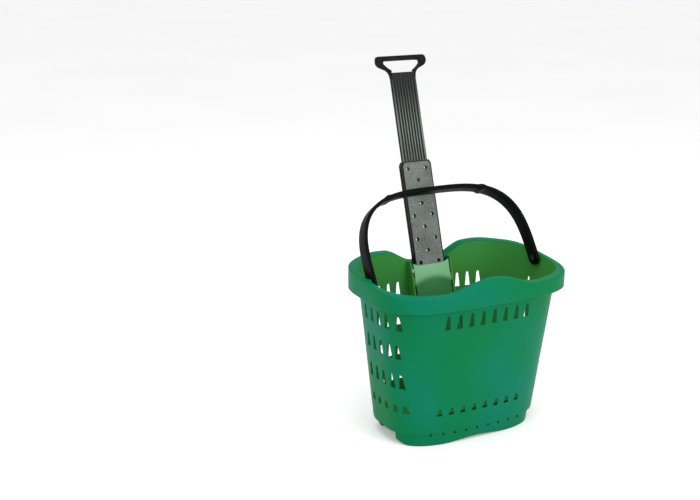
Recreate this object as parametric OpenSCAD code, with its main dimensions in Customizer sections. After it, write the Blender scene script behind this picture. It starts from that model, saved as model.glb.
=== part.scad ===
// Wheeled shopping basket: a moulded basket with a swinging carry handle, two rear wheels, a foot
// at the front, and a two-stage pull handle that leans back in a channel in the rear wall.
// X runs along the long side, Y runs from the front to the back, Z is up, and the floor is Z = 0.

/* [Basket] */
// Half-length of the body at the floor
body_a = 202; // [180:1:230]
// Front wall's distance from the body line at the floor
body_front = 111; // [95:1:130]
// Back wall's distance from the body line at the floor
body_back = 108; // [95:1:130]
// Lean of the side walls per mm of height
side_draft = 0.112; // [0.08:0.002:0.13]
// Lean of the front wall per mm of height
front_draft = 0.107; // [0.08:0.001:0.12]
// Lean of the back wall per mm of height
back_draft = 0.092; // [0.07:0.001:0.1]
// Squareness of the body's outline (2 is an ellipse)
body_power = 3.2; // [2.6:0.1:5]
// Thickness of the walls, floor and ledge
wall = 3; // [2.4:0.1:3.6]
// Height of the floor's upper face
floor_top = 49; // [47:1:60]
// Height of the body's lower edge
hem_z = 34; // [26:1:38]

/* [Rim] */
// Length of the rim over all
rim_length = 520; // [500:5:640]
// Depth of the rim over all
rim_depth = 340; // [330:5:420]
// Squareness of the rim's outline
rim_power = 3.6; // [3:0.1:6]
// Height of the rim at the middle of the short sides
rim_z = 411; // [380:1:500]
// Rise of the rim per mm from front to back
rim_slope = 0.07; // [0:0.01:0.08]
// Height of the skirt's lower edge
skirt_z = 363; // [340:1:366]
// Rise of the rim at the middle of the front
hump_rise = 29; // [0:1:40]
// Half-width of the front hump
hump_half = 140; // [100:1:160]
// Fall of the rim where the pull handle passes
dip_fall = 33; // [10:1:36]
// Half-width of the dip in the back of the rim
dip_half = 115; // [90:1:140]
// Height of the stiffening ribs below the skirt's edge
rib_drop = 11; // [0:1:20]

/* [Slots] */
// Width of a slot at its lower end
slot_w = 15; // [10:1:18]
// Width of a slot at its upper end
slot_top_w = 8; // [5:1:12]
// Height of a full slot
slot_h = 37; // [25:1:45]
// Height of a short slot in the lowest row
short_slot_h = 20; // [14:1:30]
// Pitch of the slots in the front wall
front_pitch = 31.7; // [26:0.1:33]
// Pitch of the slots in the short sides
side_pitch = 30.4; // [26:0.1:32]
// Pitch of the slots in the back wall
back_pitch = 29.2; // [26:0.1:31]
// Height of the small drain slots
drain_h = 8; // [5:1:10]

/* [Foot] */
// Depth of the foot from front to back
foot_depth = 66; // [40:1:80]
// Step in from the body's sides to the foot's
foot_inset = 8; // [4:1:14]
// Step in from the body's front to the foot's
foot_step = 1.5; // [1:0.5:6]
// Rise of the foot's underside at its middle
foot_arch = 7; // [0:1:9]
// Radius of the foot's lower corners
foot_corner = 24; // [12:1:30]

/* [Pull handle] */
// Angle that the pull handle leans back from upright
lean = 18.16; // [14:0.1:20]
// Width of the outer sleeve
sleeve_w = 86; // [70:1:90]
// Thickness of the outer sleeve
sleeve_t = 18; // [16:1:20]
// Length of the outer sleeve without its shoe
sleeve_len = 405; // [380:1:420]
// Place of the sleeve's upper end along the lean when pulled out
sleeve_top = 670; // [620:1:690]
// Travel of the sleeve
sleeve_travel = 196; // [150:1:200]
// Width of the inner bar
bar_w = 73; // [56:1:76]
// Thickness of the inner bar
bar_t = 8; // [6:0.5:9]
// Travel of the inner bar
bar_travel = 211; // [150:1:230]
// Overlap of the bar in the sleeve when pulled out
bar_overlap = 62; // [50:1:90]
// Diameter of the holes in the sleeve
sleeve_hole_d = 9; // [6:0.5:11]
// Distance between rows of holes in the sleeve
sleeve_hole_pitch = 30; // [26:1:40]
// Half-distance between the two holes of a pair
sleeve_hole_x = 26.4; // [18:0.2:28]
// Width of the pull grip over all
grip_w = 147; // [120:1:170]
// Diameter of the pull grip's cross bar
grip_d = 20; // [16:1:24]

/* [Carry handle] */
// Half-span of the carry handle at its pivots
carry_half = 235; // [225:1:236]
// Height of the arch above its pivots
carry_rise = 211; // [190:1:230]
// Width of the strap
carry_w = 30; // [24:1:34]
// Thickness of the strap
carry_t = 7; // [5:0.5:8]
// Height of the pivots
pivot_z = 402; // [395:1:404]
// Angle that the handle leans back from upright when it is up
carry_lean = 34; // [20:1:40]
// Diameter of the pivot pins
pivot_d = 8; // [6:0.5:10]

/* [Wheels] */
// Diameter of the wheels over the tyre
wheel_d = 42; // [36:1:42]
// Width of the tyre
tyre_w = 16; // [12:1:20]
// Diameter of the axles
axle_d = 6; // [5:0.5:8]
// Half-distance between the wheels
wheel_x = 168; // [150:1:175]
// Distance of the axle behind the body line
wheel_y = 56; // [40:1:66]

/* [Hidden] */
$fn = 48;

// Clearances
run_fit = 0.05;      // radial, between a pin and what turns on it
slide_fit = 0.6;     // each side, between a slide and its guide
seat_gap = 0.3;      // between pieces that lie face to face but move
eps = 1;             // how far a cutter passes the face that it cuts

// Heights and shares that several pieces use
outline_points = 64;
loft_foot = -10;
loft_top = 470;
wave_step = 8;

// Slot rows: the height of each row's lower end
top_row_z = 308;
second_row_z = 234;
third_row_z = 156;
low_row_z = 91;
front_low_row_z = 80;
drain_z = 25;
front_slots = 8;
side_slots = 5;
side_slot_mid_y = -34;
back_slots = 3;
back_slot_x = 88.8;

// Pull handle, in the leaning frame: X across, Y towards the back, Z along the lean
lean_y0 = -2;
mouth_w = bar_w + 0.8;
mouth_t = bar_t + 1;
bore_w = bar_w + 5;
bore_t = bar_t + 4;
mouth_len = 12;
bar_mid_y = sleeve_t / 2;
sleeve_foot = sleeve_top - sleeve_len;
shoe_cap = 12;
shoe_half = sleeve_w / 2 + 3.4;
bar_top = sleeve_top + bar_travel + 1;
bar_foot = sleeve_top - bar_overlap;
grip_z = bar_top + 50;
channel_foot = sleeve_foot - shoe_cap - sleeve_travel - 4;
channel_half = 57;
panel_half = 52;
slit_w = 3;
panel_top = 421;
panel_sag = 8;
lug_h = 20;
cover_top = 388;
low_lug = 90;
stop_lug = sleeve_foot + 0.5;
top_lug = 355;
cover_y = sleeve_t + slide_fit;
screw_r = 1.5;
screw_len = 12;
screw_head_r = 3;

// Wheels
axle_z = wheel_d / 2;
hub_w = tyre_w - 2;
hub_r = wheel_d / 2 - 5;
cheek_t = 3;
cheek_gap = 0.8;
fork_top = floor_top - wall;
fork_plate_t = 3;
fork_screw_y = 14;
fork_half = 19;

// Carry handle
carry_points = 72;
carry_power = 3.3;
pivot_y = 5;
ear_r = carry_w / 2;
boss_r = 9;

// The part's origin lies under the middle of its box
grip_back = lean_y0 + grip_z * sin(lean) + bar_mid_y * cos(lean) + grip_d / 2;
mid_y = (grip_back - rim_depth / 2) / 2;

module place() translate([0, -mid_y, 0]) children();
module leaning() translate([0, lean_y0, 0]) rotate([-lean, 0, 0]) children();
module both() { children(); mirror([1, 0, 0]) children(); }

function signed_pow(v, p) = sign(v) * pow(abs(v), p);
function outline(a, b, mid, power) = [
    for (i = [0 : outline_points - 1])
        let (t = 360 * i / outline_points)
        [a * signed_pow(cos(t), 2 / power), mid + b * signed_pow(sin(t), 2 / power)]
];
function body_half(z) = body_a + side_draft * z;
function front_at(z) = -(body_front + front_draft * z);
function back_at(z) = body_back + back_draft * z;
function blend(t) = t <= 0 ? 1 : t >= 1 ? 0 : 0.5 + 0.5 * cos(180 * t);
function hump(x) = hump_rise * blend(abs(x) / hump_half);
function dip(x) = -dip_fall * blend((abs(x) - 30) / (dip_half - 30))
    + 4 * blend(abs(abs(x) - 155) / 70);

// ---- Basket ----

function body_ring(z, inset, side_inset) = let (
    front = front_at(z) + inset,
    back = back_at(z) - inset,
    flat = outline(body_half(z) - inset - side_inset, (back - front) / 2, (back + front) / 2,
        body_power)
) [for (p = flat) [p[0], p[1], z]];

// The whole tapered solid, set in from the outer face. Every piece of it is cut from this one
// shape, so that faces which coincide are the same faces.
module body_loft(inset, side_inset = 0) {
    n = outline_points;
    polyhedron(
        points = concat(body_ring(loft_foot, inset, side_inset), body_ring(loft_top, inset, side_inset)),
        faces = concat(
            [[for (i = [0 : n - 1]) i], [for (i = [n - 1 : -1 : 0]) n + i]],
            [for (i = [0 : n - 1]) [i, n + i, (i + 1) % n]],
            [for (i = [0 : n - 1]) [(i + 1) % n, n + i, n + (i + 1) % n]]
        )
    );
}

module slab(z0, z1) translate([-400, -400, z0]) cube([800, 800, z1 - z0]);

module rim_block(inset) {
    translate([0, 0, skirt_z]) linear_extrude(loft_top - skirt_z)
        polygon(outline(rim_length / 2 - inset, rim_depth / 2 - inset, 0, rim_power));
}

// Everything on one side of the body line that lies above the rim's wavy surface
module above_half(front, down) {
    far = rim_length / 2 + 20;
    reach = rim_depth / 2 + 30;
    points = concat(
        [for (x = [-far : wave_step : far + wave_step]) [x, (front ? hump(x) : dip(x)) - down]],
        [[far + wave_step, 200], [-far, 200]]
    );
    translate([0, 0, rim_z]) rotate([atan(rim_slope), 0, 0])
        translate([0, front ? 0 : reach, 0]) rotate([90, 0, 0])
            linear_extrude(reach) polygon(points);
}

module above_rim(down) {
    above_half(true, down);
    above_half(false, down);
}

module slot(w, top_w, h, depth) {
    r = top_w / 2;
    rotate([90, 0, 0]) translate([0, 0, -depth]) linear_extrude(depth) union() {
        polygon([[-w / 2, 0], [w / 2, 0], [r, h - r], [-r, h - r]]);
        translate([0, h - r]) circle(r = r, $fn = 16);
    }
}

module wall_slots() {
    cut = 60;
    // Front wall: a full row at the top, a short row below the smooth panel, and the drain row
    for (i = [0 : front_slots - 1]) {
        x = (i - (front_slots - 1) / 2) * front_pitch;
        translate([x, front_at(top_row_z) - cut / 2, top_row_z])
            slot(slot_w, slot_top_w, slot_h, cut);
        translate([x, front_at(front_low_row_z) - cut / 2, front_low_row_z])
            slot(slot_w, slot_top_w, short_slot_h, cut);
    }
    for (i = [0 : front_slots])
        translate([(i - front_slots / 2) * front_pitch, front_at(drain_z) - cut / 2, drain_z])
            slot(drain_h, drain_h / 2, drain_h, cut);
    // Short sides: one prism cuts both
    for (i = [0 : side_slots - 1])
        for (row = [top_row_z, second_row_z, third_row_z, low_row_z])
            translate([body_half(loft_top), side_slot_mid_y + (i - 2) * side_pitch, row])
                rotate([0, 0, 90])
                    slot(slot_w, slot_top_w, row == low_row_z ? short_slot_h : slot_h,
                        2 * body_half(loft_top));
    // Back wall, each side of the channel
    for (side = [-1, 1])
        for (i = [0 : back_slots - 1])
            for (row = [top_row_z, second_row_z, third_row_z, low_row_z])
                translate([side * (back_slot_x + i * back_pitch), back_at(row) - cut / 2, row])
                    slot(slot_w, slot_top_w, row == low_row_z ? short_slot_h : slot_h, cut);
}

// The foot's lower profile: a shallow arch between round corners
function foot_half() = body_a - foot_inset;
function foot_edge(x) = abs(x) > foot_half() - foot_corner
    ? foot_corner - sqrt(max(0, pow(foot_corner, 2)
        - pow(min(abs(x) - foot_half() + foot_corner, foot_corner), 2)))
    : foot_arch * blend(abs(x) / 110);

module foot_prism(lift, y0) {
    far = foot_half() + 10;
    xs = [for (x = [-far : 6 : far + 1]) x];
    translate([0, y0, 0]) rotate([90, 0, 0]) linear_extrude(300)
        polygon(concat([for (x = xs) [x, foot_edge(x) + lift]],
            [[far, floor_top + 5], [-far, floor_top + 5]]));
}

foot_back = -(body_front - foot_depth);

module foot_outer() {
    intersection() {
        body_loft(foot_step, foot_inset);
        foot_prism(0, foot_back);
    }
}

module foot_inner() {
    intersection() {
        body_loft(wall + foot_step, foot_inset);
        foot_prism(wall, foot_back - wall);
    }
}

// Recess in the back wall that the pull handle runs in
module channel_box(half, front, back, foot, top) {
    leaning() translate([-half, front, foot]) cube([2 * half, back - front, top - foot]);
}

module panel() {
    arc_r = (pow(panel_half, 2) + pow(panel_sag, 2)) / (2 * panel_sag);
    leaning() translate([0, -slide_fit, 0]) rotate([90, 0, 0]) linear_extrude(wall) difference() {
        translate([-channel_half - wall, 0]) square([2 * (channel_half + wall), panel_top]);
        translate([0, panel_top - panel_sag + arc_r]) circle(r = arc_r, $fn = 128);
        for (side = [-1, 1]) translate([side * (panel_half + slit_w / 2) - slit_w / 2, low_lug - 30])
            square([slit_w, panel_top]);
    }
}

// Lugs that carry the cover's screws: the middle pair also stops the sleeve's shoe
module lug(foot, inner) {
    leaning() translate([inner, -slide_fit - wall, foot])
        cube([channel_half + wall - inner, cover_y + slide_fit + wall - seat_gap, lug_h]);
}

module lug_screw_holes() {
    for (z = [low_lug, stop_lug, top_lug])
        leaning() translate([panel_half, cover_y - screw_len, z + lug_h / 2])
            rotate([-90, 0, 0]) cylinder(r = screw_r + run_fit, h = screw_len + eps, $fn = 24);
}

module channel_walls() {
    intersection() {
        union() {
            difference() {
                channel_box(channel_half + wall, -slide_fit - wall, 200, -60, 440);
                channel_box(channel_half, -slide_fit - wall - eps, 201, -61, 441);
            }
            panel();
            both() difference() {
                union() {
                    lug(low_lug, shoe_half + slide_fit);
                    lug(stop_lug, sleeve_w / 2 + slide_fit);
                    lug(top_lug, sleeve_w / 2 + slide_fit);
                }
                lug_screw_holes();
            }
        }
        body_loft(0);
        slab(hem_z, loft_top);
    }
}

module stiffening_ribs() {
    depth = rim_depth / 2 + 5;
    rib_z = skirt_z - rib_drop;
    for (x = [-160 : 64 : 160])
        translate([x - wall / 2, -depth, rib_z]) cube([wall, 2 * depth, 100]);
    for (y = [-100, -50, 60, 100])
        translate([-rim_length / 2, y - wall / 2, rib_z]) cube([rim_length, wall, 100]);
}

module rim_ring() {
    difference() {
        rim_block(0);
        difference() {
            rim_block(wall);
            above_rim(wall);
            body_loft(0);
            stiffening_ribs();
        }
    }
}

module pivot_boss() {
    translate([carry_half + carry_t / 2 + seat_gap, pivot_y, pivot_z]) rotate([0, 90, 0])
        cylinder(r = boss_r, h = 40);
}

module fork_bosses() {
    for (x = [-wheel_x, wheel_x])
        for (y = [-fork_screw_y, fork_screw_y])
            translate([x, wheel_y + y, fork_top]) cylinder(r = 4, h = wall + 7, $fn = 32);
}

module fork_screw_holes() {
    for (x = [-wheel_x, wheel_x])
        for (y = [-fork_screw_y, fork_screw_y])
            translate([x, wheel_y + y, fork_top - eps])
                cylinder(r = screw_r + run_fit, h = 8.5 + eps, $fn = 24);
}

// The body's shell with its floor, its foot and the rim, before the channel is set in
module shell() {
    difference() {
        union() {
            rim_ring();
            intersection() {
                body_loft(0);
                slab(hem_z, loft_top);
            }
            foot_outer();
        }
        intersection() {
            body_loft(wall);
            union() {
                slab(floor_top, loft_top + 5);
                translate([-300, foot_back, -2 * eps]) cube([600, 400, floor_top - wall + 2 * eps]);
            }
        }
        foot_inner();
    }
}

// What the channel takes out of the body, up to the underside of the ledge
module channel_cut() {
    intersection() {
        channel_box(channel_half + wall, -slide_fit - wall, 300, -80, 470);
        difference() {
            body_loft(0);
            above_rim(wall);
        }
    }
}

module basket() place() color("#178a52") difference() {
    union() {
        difference() {
            shell();
            channel_cut();
        }
        channel_walls();
        intersection() {
            both() pivot_boss();
            body_loft(0);
        }
        fork_bosses();
    }
    above_rim(0);
    wall_slots();
    fork_screw_holes();
    channel_box(sleeve_w / 2 + slide_fit, -slide_fit, cover_y, 380, 480);
    translate([-300, pivot_y, pivot_z]) rotate([0, 90, 0])
        cylinder(r = pivot_d / 2 + run_fit, h = 600);
}

// ---- Channel cover ----

module channel_cover() place() color("#15181a") difference() {
    channel_box(channel_half - 0.4, cover_y, cover_y + wall, channel_foot + 6, cover_top);
    for (side = [-1, 1])
        for (z = [low_lug, stop_lug, top_lug])
            leaning() translate([side * panel_half, cover_y - eps, z + lug_h / 2])
                rotate([-90, 0, 0]) cylinder(r = screw_r + 0.2, h = 20, $fn = 24);
}

module cover_screws() place() color("#8d9296")
    for (side = [-1, 1])
        for (z = [low_lug, stop_lug, top_lug])
            leaning() translate([side * panel_half, cover_y + wall, z + lug_h / 2])
                rotate([-90, 0, 0]) {
                    translate([0, 0, -screw_len + 1]) cylinder(r = screw_r, h = screw_len, $fn = 24);
                    cylinder(r = screw_head_r, h = 1.6, $fn = 24);
                }

// ---- Carry handle ----

function arch_swell(x) = 2.2 * blend(abs(abs(x) - 142) / 26);
function arch_point(t, grow) = let (
    x = carry_half * signed_pow(cos(t), 2 / carry_power),
    z = carry_rise * signed_pow(sin(t), 2 / carry_power),
    g = grow * (1 + arch_swell(x) / (carry_t / 2))
) [x * (1 + g / carry_half), z * (1 + g / carry_rise)];

module carry_plane() translate([0, pivot_y, pivot_z]) rotate([-carry_lean, 0, 0]) children();

module carry_handle() place() color("#121314") carry_plane() difference() {
    union() {
        rotate([90, 0, 0]) translate([0, 0, -carry_w / 2]) linear_extrude(carry_w) polygon(concat(
            [for (i = [0 : carry_points]) arch_point(180 * i / carry_points, carry_t / 2)],
            [for (i = [carry_points : -1 : 0]) arch_point(180 * i / carry_points, -carry_t / 2)]
        ));
        both() translate([carry_half - carry_t / 2, 0, 0]) rotate([0, 90, 0])
            cylinder(r = ear_r, h = carry_t);
    }
    // The hand's part of the strap is narrower
    for (side = [-1, 1])
        translate([-132, side * (carry_w / 2 + 6) - 10, carry_rise - 40]) cube([264, 20, 60]);
    translate([-300, 0, 0]) rotate([0, 90, 0]) cylinder(r = pivot_d / 2 + run_fit, h = 600);
}

module carry_pivot() color("#3b3f42") {
    inner = carry_half - carry_t / 2 - seat_gap;
    translate([inner, pivot_y, pivot_z]) rotate([0, 90, 0]) cylinder(r = pivot_d / 2, h = 19);
    translate([inner - 3, pivot_y, pivot_z]) rotate([0, 90, 0]) cylinder(r = 7, h = 3);
}

module carry_pivot_left() place() mirror([1, 0, 0]) carry_pivot();
module carry_pivot_right() place() carry_pivot();

// ---- Pull handle: sleeve ----

module centred(w, t, z0, z1) translate([-w / 2, bar_mid_y - t / 2, z0]) cube([w, t, z1 - z0]);

module sleeve_holes() {
    rows = floor((sleeve_len - 60) / sleeve_hole_pitch);
    for (i = [0 : rows])
        for (x = i % 2 == 0 ? [-sleeve_hole_x, sleeve_hole_x] : [0])
            translate([x, -eps, sleeve_top - 20 - i * sleeve_hole_pitch]) rotate([-90, 0, 0])
                cylinder(r = sleeve_hole_d / 2, h = sleeve_t + 2 * eps, $fn = 32);
}

module pull_sleeve() place() color("#5c625f") leaning() difference() {
    corner = 9;
    rotate([90, 0, 0]) translate([0, 0, -sleeve_t]) linear_extrude(sleeve_t) polygon([
        [-sleeve_w / 2, sleeve_foot], [sleeve_w / 2, sleeve_foot],
        [sleeve_w / 2, sleeve_top - corner], [sleeve_w / 2 - corner * 0.6, sleeve_top],
        [-sleeve_w / 2 + corner * 0.6, sleeve_top], [-sleeve_w / 2, sleeve_top - corner]
    ]);
    centred(bore_w, bore_t, sleeve_foot - eps, sleeve_top - mouth_len);
    centred(mouth_w, mouth_t, sleeve_foot, sleeve_top + eps);
    // A shallow field in the front face leaves a rib along each edge
    translate([-sleeve_w / 2 + 6, -eps, sleeve_foot - eps])
        cube([sleeve_w - 12, eps + 0.8, sleeve_len - 8]);
    sleeve_holes();
    for (x = [-28, 28]) translate([x, -eps, sleeve_foot + 10]) rotate([-90, 0, 0])
        cylinder(r = 2 + run_fit, h = sleeve_t + 2 * eps, $fn = 24);
}

spring_w = 10;
spring_t = 0.8;

module shoe_spring_pocket(z0) translate([-spring_w / 2 - 0.4, bar_mid_y - 3, z0])
    cube([spring_w + 0.8, 6, 40]);

module sleeve_guide_shoe() place() color("#191b1c") leaning() difference() {
    union() {
        translate([-shoe_half, 0, sleeve_foot - shoe_cap]) cube([2 * shoe_half, sleeve_t, shoe_cap]);
        centred(bore_w - 0.4, bore_t - 0.4, sleeve_foot - shoe_cap, sleeve_foot + 20);
    }
    for (x = [-28, 28])
        translate([x, -eps, sleeve_foot + 10]) rotate([-90, 0, 0])
            cylinder(r = 2 + run_fit, h = sleeve_t + 2 * eps, $fn = 24);
    shoe_spring_pocket(sleeve_foot - shoe_cap + 4);
}

module sleeve_shoe_pins() place() color("#a9adb0") leaning() for (x = [-28, 28])
    translate([x, 1.2, sleeve_foot + 10]) rotate([-90, 0, 0])
        cylinder(r = 2, h = sleeve_t - 2.4, $fn = 24);

// A bent leaf of spring steel, standing in the pocket of its shoe
module leaf_spring(z0, y_mid) color("#b7bbbe")
    translate([-spring_w / 2, y_mid, z0]) rotate([90, 0, 90]) linear_extrude(spring_w) polygon([
        [-2.4, 0], [2.4, 0], [2.4, spring_t], [-1.4, spring_t],
        [-0.4, 8], [-1.4, 15], [-2.2, 15], [-1.2, 8], [-2.4, 1]
    ]);

module sleeve_detent_spring() place() leaning()
    leaf_spring(sleeve_foot - shoe_cap + 4.2, bar_mid_y);

// ---- Pull handle: bar and grip ----

tang_w = 50;
tang_t = 5;
tang_h = 11;

module pull_bar() place() color("#2f3534") leaning() difference() {
    union() {
        centred(bar_w, bar_t, bar_foot + 20, bar_top);
        centred(bore_w - 16, 5, bar_foot + 4, bar_foot + 21);
        centred(tang_w, tang_t, bar_top - eps, bar_top + tang_h);
    }
    // Grooves between the lengthwise ribs
    for (i = [-4 : 3])
        for (side = [0, 1])
            translate([(i + 0.5) * 8 - 2, side ? bar_mid_y + bar_t / 2 - 1 : bar_mid_y - bar_t / 2 - eps,
                bar_foot + 32])
                cube([4, 1 + eps, bar_top - bar_foot - 44]);
    for (x = [-18, 18]) {
        translate([x, 0, bar_foot + 12]) rotate([-90, 0, 0])
            cylinder(r = 1.5 + run_fit, h = sleeve_t, $fn = 24);
        translate([x, 0, bar_top + tang_h / 2]) rotate([-90, 0, 0])
            cylinder(r = 1.5 + run_fit, h = sleeve_t, $fn = 24);
    }
}

module bar_guide_shoe() place() color("#191b1c") leaning() difference() {
    centred(bore_w - 2 * seat_gap, bore_t - 2 * seat_gap, bar_foot, bar_foot + 20);
    centred(bore_w - 16 + 0.2, 5.2, bar_foot + 3.9, bar_foot + 21);
    for (x = [-18, 18]) translate([x, 0, bar_foot + 12]) rotate([-90, 0, 0])
        cylinder(r = 1.5 + run_fit, h = sleeve_t, $fn = 24);
}

module bar_shoe_pins() place() color("#a9adb0") leaning() for (x = [-18, 18])
    translate([x, bar_mid_y - bore_t / 2 + 0.6, bar_foot + 12]) rotate([-90, 0, 0])
        cylinder(r = 1.5, h = bore_t - 1.2, $fn = 24);

module bar_detent_spring() place() leaning() color("#b7bbbe")
    translate([-30, bar_mid_y, bar_foot - 0.8]) rotate([90, 0, 90]) linear_extrude(60) polygon([
        [-4, 0], [4, 0], [4, spring_t], [-4, spring_t]
    ]);

module pull_grip() place() color("#141516") leaning() {
    plate_t = 14;
    web_top = bar_top + tang_h + 4;
    arm_x = grip_w / 2 - grip_d / 2;
    difference() {
        union() {
            translate([0, bar_mid_y + plate_t / 2, 0]) rotate([90, 0, 0]) linear_extrude(plate_t)
                difference() {
                    polygon([
                        [-bar_w / 2, bar_top], [bar_w / 2, bar_top], [bar_w / 2 + 2, bar_top + 12],
                        [arm_x + 4, grip_z - 8], [arm_x, grip_z], [-arm_x, grip_z],
                        [-arm_x - 4, grip_z - 8], [-bar_w / 2 - 2, bar_top + 12]
                    ]);
                    polygon([
                        [-20, web_top], [20, web_top], [46, grip_z - grip_d / 2 + 1],
                        [-46, grip_z - grip_d / 2 + 1]
                    ]);
                }
            translate([-arm_x, bar_mid_y, grip_z]) rotate([0, 90, 0])
                cylinder(r = grip_d / 2, h = 2 * arm_x);
            for (side = [-1, 1]) translate([side * arm_x, bar_mid_y, grip_z]) sphere(r = grip_d / 2);
        }
        centred(tang_w + 0.2, tang_t + 0.2, bar_top - eps, bar_top + tang_h + 0.2);
        for (x = [-18, 18]) translate([x, 0, bar_top + tang_h / 2]) rotate([-90, 0, 0])
            cylinder(r = 1.5 + run_fit, h = sleeve_t + 4, $fn = 24);
    }
}

module grip_pins() place() color("#a9adb0") leaning() for (x = [-18, 18])
    translate([x, bar_mid_y - 6.4, bar_top + tang_h / 2]) rotate([-90, 0, 0])
        cylinder(r = 1.5, h = 12.8, $fn = 24);

// ---- Wheels, one set for each side ----

module at_wheel(side) place() mirror([side < 0 ? 1 : 0, 0, 0])
    translate([wheel_x, wheel_y, axle_z]) children();

module wheel_fork(side) at_wheel(side) color("#17191a") difference() {
    inner = tyre_w / 2 + cheek_gap;
    plate_z = fork_top - axle_z - fork_plate_t;
    union() {
        translate([-inner - cheek_t, -fork_half, plate_z])
            cube([2 * (inner + cheek_t), 2 * fork_half, fork_plate_t]);
        for (s = [-1, 1]) translate([s * (inner + cheek_t / 2) - cheek_t / 2, 0, 0]) {
            translate([0, -9, 0]) cube([cheek_t, 18, plate_z + eps]);
            rotate([0, 90, 0]) cylinder(r = 9, h = cheek_t);
        }
    }
    translate([-50, 0, 0]) rotate([0, 90, 0]) cylinder(r = axle_d / 2 + run_fit, h = 100);
    for (y = [-fork_screw_y, fork_screw_y]) translate([0, y, plate_z - eps])
        cylinder(r = screw_r + 0.2, h = 20, $fn = 24);
    rotate([0, 90, 0]) translate([0, 0, -inner]) cylinder(r = wheel_d / 2 + 1, h = 2 * inner);
}

module wheel_fork_left() wheel_fork(-1);
module wheel_fork_right() wheel_fork(1);

module fork_screws() color("#8d9296") for (side = [-1, 1]) at_wheel(side)
    for (y = [-fork_screw_y, fork_screw_y])
        translate([0, y, fork_top - axle_z - fork_plate_t]) {
            cylinder(r = screw_r, h = fork_plate_t + 8, $fn = 24);
            translate([0, 0, -1.6]) cylinder(r = screw_head_r, h = 1.6, $fn = 24);
        }

axle_half = tyre_w / 2 + cheek_gap + cheek_t;

module axle(side) at_wheel(side) color("#b4b8bb") {
    translate([-axle_half - 3, 0, 0]) rotate([0, 90, 0])
        cylinder(r = axle_d / 2, h = 2 * axle_half + 3 + 0.1);
    translate([axle_half + 0.1, 0, 0]) rotate([0, 90, 0]) cylinder(r = axle_d / 2 + 2, h = 1.6);
}

module axle_left() axle(-1);
module axle_right() axle(1);

module axle_clips() color("#7c8083") for (side = [-1, 1]) at_wheel(side)
    translate([-axle_half - 2, 0, 0]) rotate([0, 90, 0]) difference() {
        cylinder(r = axle_d / 2 + 2.2, h = 1.2);
        translate([0, 0, -eps]) cylinder(r = axle_d / 2 + run_fit, h = 1.2 + 2 * eps);
    }

module wheel_hub(side) at_wheel(side) color("#24282a") rotate([0, 90, 0]) difference() {
    union() {
        translate([0, 0, -hub_w / 2]) cylinder(r = hub_r, h = hub_w);
        translate([0, 0, -tyre_w / 2]) cylinder(r = axle_d / 2 + 3, h = tyre_w);
    }
    translate([0, 0, -tyre_w]) cylinder(r = axle_d / 2 + run_fit, h = 2 * tyre_w);
    for (s = [-1, 1]) translate([0, 0, s * (hub_w / 2 + 0.5) - 2]) difference() {
        cylinder(r = hub_r - 2.5, h = 4);
        translate([0, 0, -eps]) cylinder(r = axle_d / 2 + 3, h = 6);
    }
}

module wheel_hub_left() wheel_hub(-1);
module wheel_hub_right() wheel_hub(1);

module tyre(side) at_wheel(side) color("#101112") rotate([0, 90, 0])
    rotate_extrude($fn = 96) difference() {
        translate([hub_r, -tyre_w / 2]) polygon([
            [0, 0], [wheel_d / 2 - hub_r - 2, 0], [wheel_d / 2 - hub_r, 2],
            [wheel_d / 2 - hub_r, tyre_w - 2], [wheel_d / 2 - hub_r - 2, tyre_w], [0, tyre_w]
        ]);
    }

module tyre_left() tyre(-1);
module tyre_right() tyre(1);

basket();
channel_cover();
cover_screws();
carry_handle();
carry_pivot_left();
carry_pivot_right();
pull_sleeve();
sleeve_guide_shoe();
sleeve_shoe_pins();
sleeve_detent_spring();
pull_bar();
bar_guide_shoe();
bar_shoe_pins();
bar_detent_spring();
pull_grip();
grip_pins();
wheel_fork_left();
wheel_fork_right();
fork_screws();
axle_left();
axle_right();
axle_clips();
wheel_hub_left();
wheel_hub_right();
tyre_left();
tyre_right();
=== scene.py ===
"""Wheeled shopping basket with a two-stage pull handle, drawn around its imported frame.

Shapes are worked out in millimetres in the maker's own frame: X along the long side, Y from
the front to the back, Z up, and the floor at Z = 0. They are moved to the frame's place and
turned into metres when they are handed over.
"""

from __future__ import annotations

import logging
import math
from collections.abc import Callable, Iterable, Mapping, Sequence
from dataclasses import dataclass, field
from enum import Enum

import bmesh
import bpy
from mathutils import Matrix, Vector


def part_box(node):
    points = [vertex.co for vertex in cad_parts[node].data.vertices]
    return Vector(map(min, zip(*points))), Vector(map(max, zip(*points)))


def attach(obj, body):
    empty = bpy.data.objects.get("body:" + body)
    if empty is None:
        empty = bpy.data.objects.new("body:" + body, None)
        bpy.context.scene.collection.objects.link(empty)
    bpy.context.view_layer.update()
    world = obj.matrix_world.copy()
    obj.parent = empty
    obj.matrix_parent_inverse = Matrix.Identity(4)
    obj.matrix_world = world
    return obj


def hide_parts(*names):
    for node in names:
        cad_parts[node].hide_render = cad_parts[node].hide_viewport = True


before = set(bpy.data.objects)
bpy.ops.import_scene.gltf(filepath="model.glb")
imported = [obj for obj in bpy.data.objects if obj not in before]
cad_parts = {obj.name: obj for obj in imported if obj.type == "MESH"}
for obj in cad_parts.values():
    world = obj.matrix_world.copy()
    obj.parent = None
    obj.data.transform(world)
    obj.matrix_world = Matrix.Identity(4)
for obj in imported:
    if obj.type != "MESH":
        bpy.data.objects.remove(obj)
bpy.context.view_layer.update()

LOG = logging.getLogger("shopping_basket")
MM = 0.001
EPS = 1.0
BEYOND = 400.0
QUARTER = math.pi / 2
SCREW_HOLE_R = 1.55
ROUND = 48

Rgb = tuple[float, float, float]
Point2 = tuple[float, float]
Point3 = tuple[float, float, float]


# ---- Shader maths ----


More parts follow.
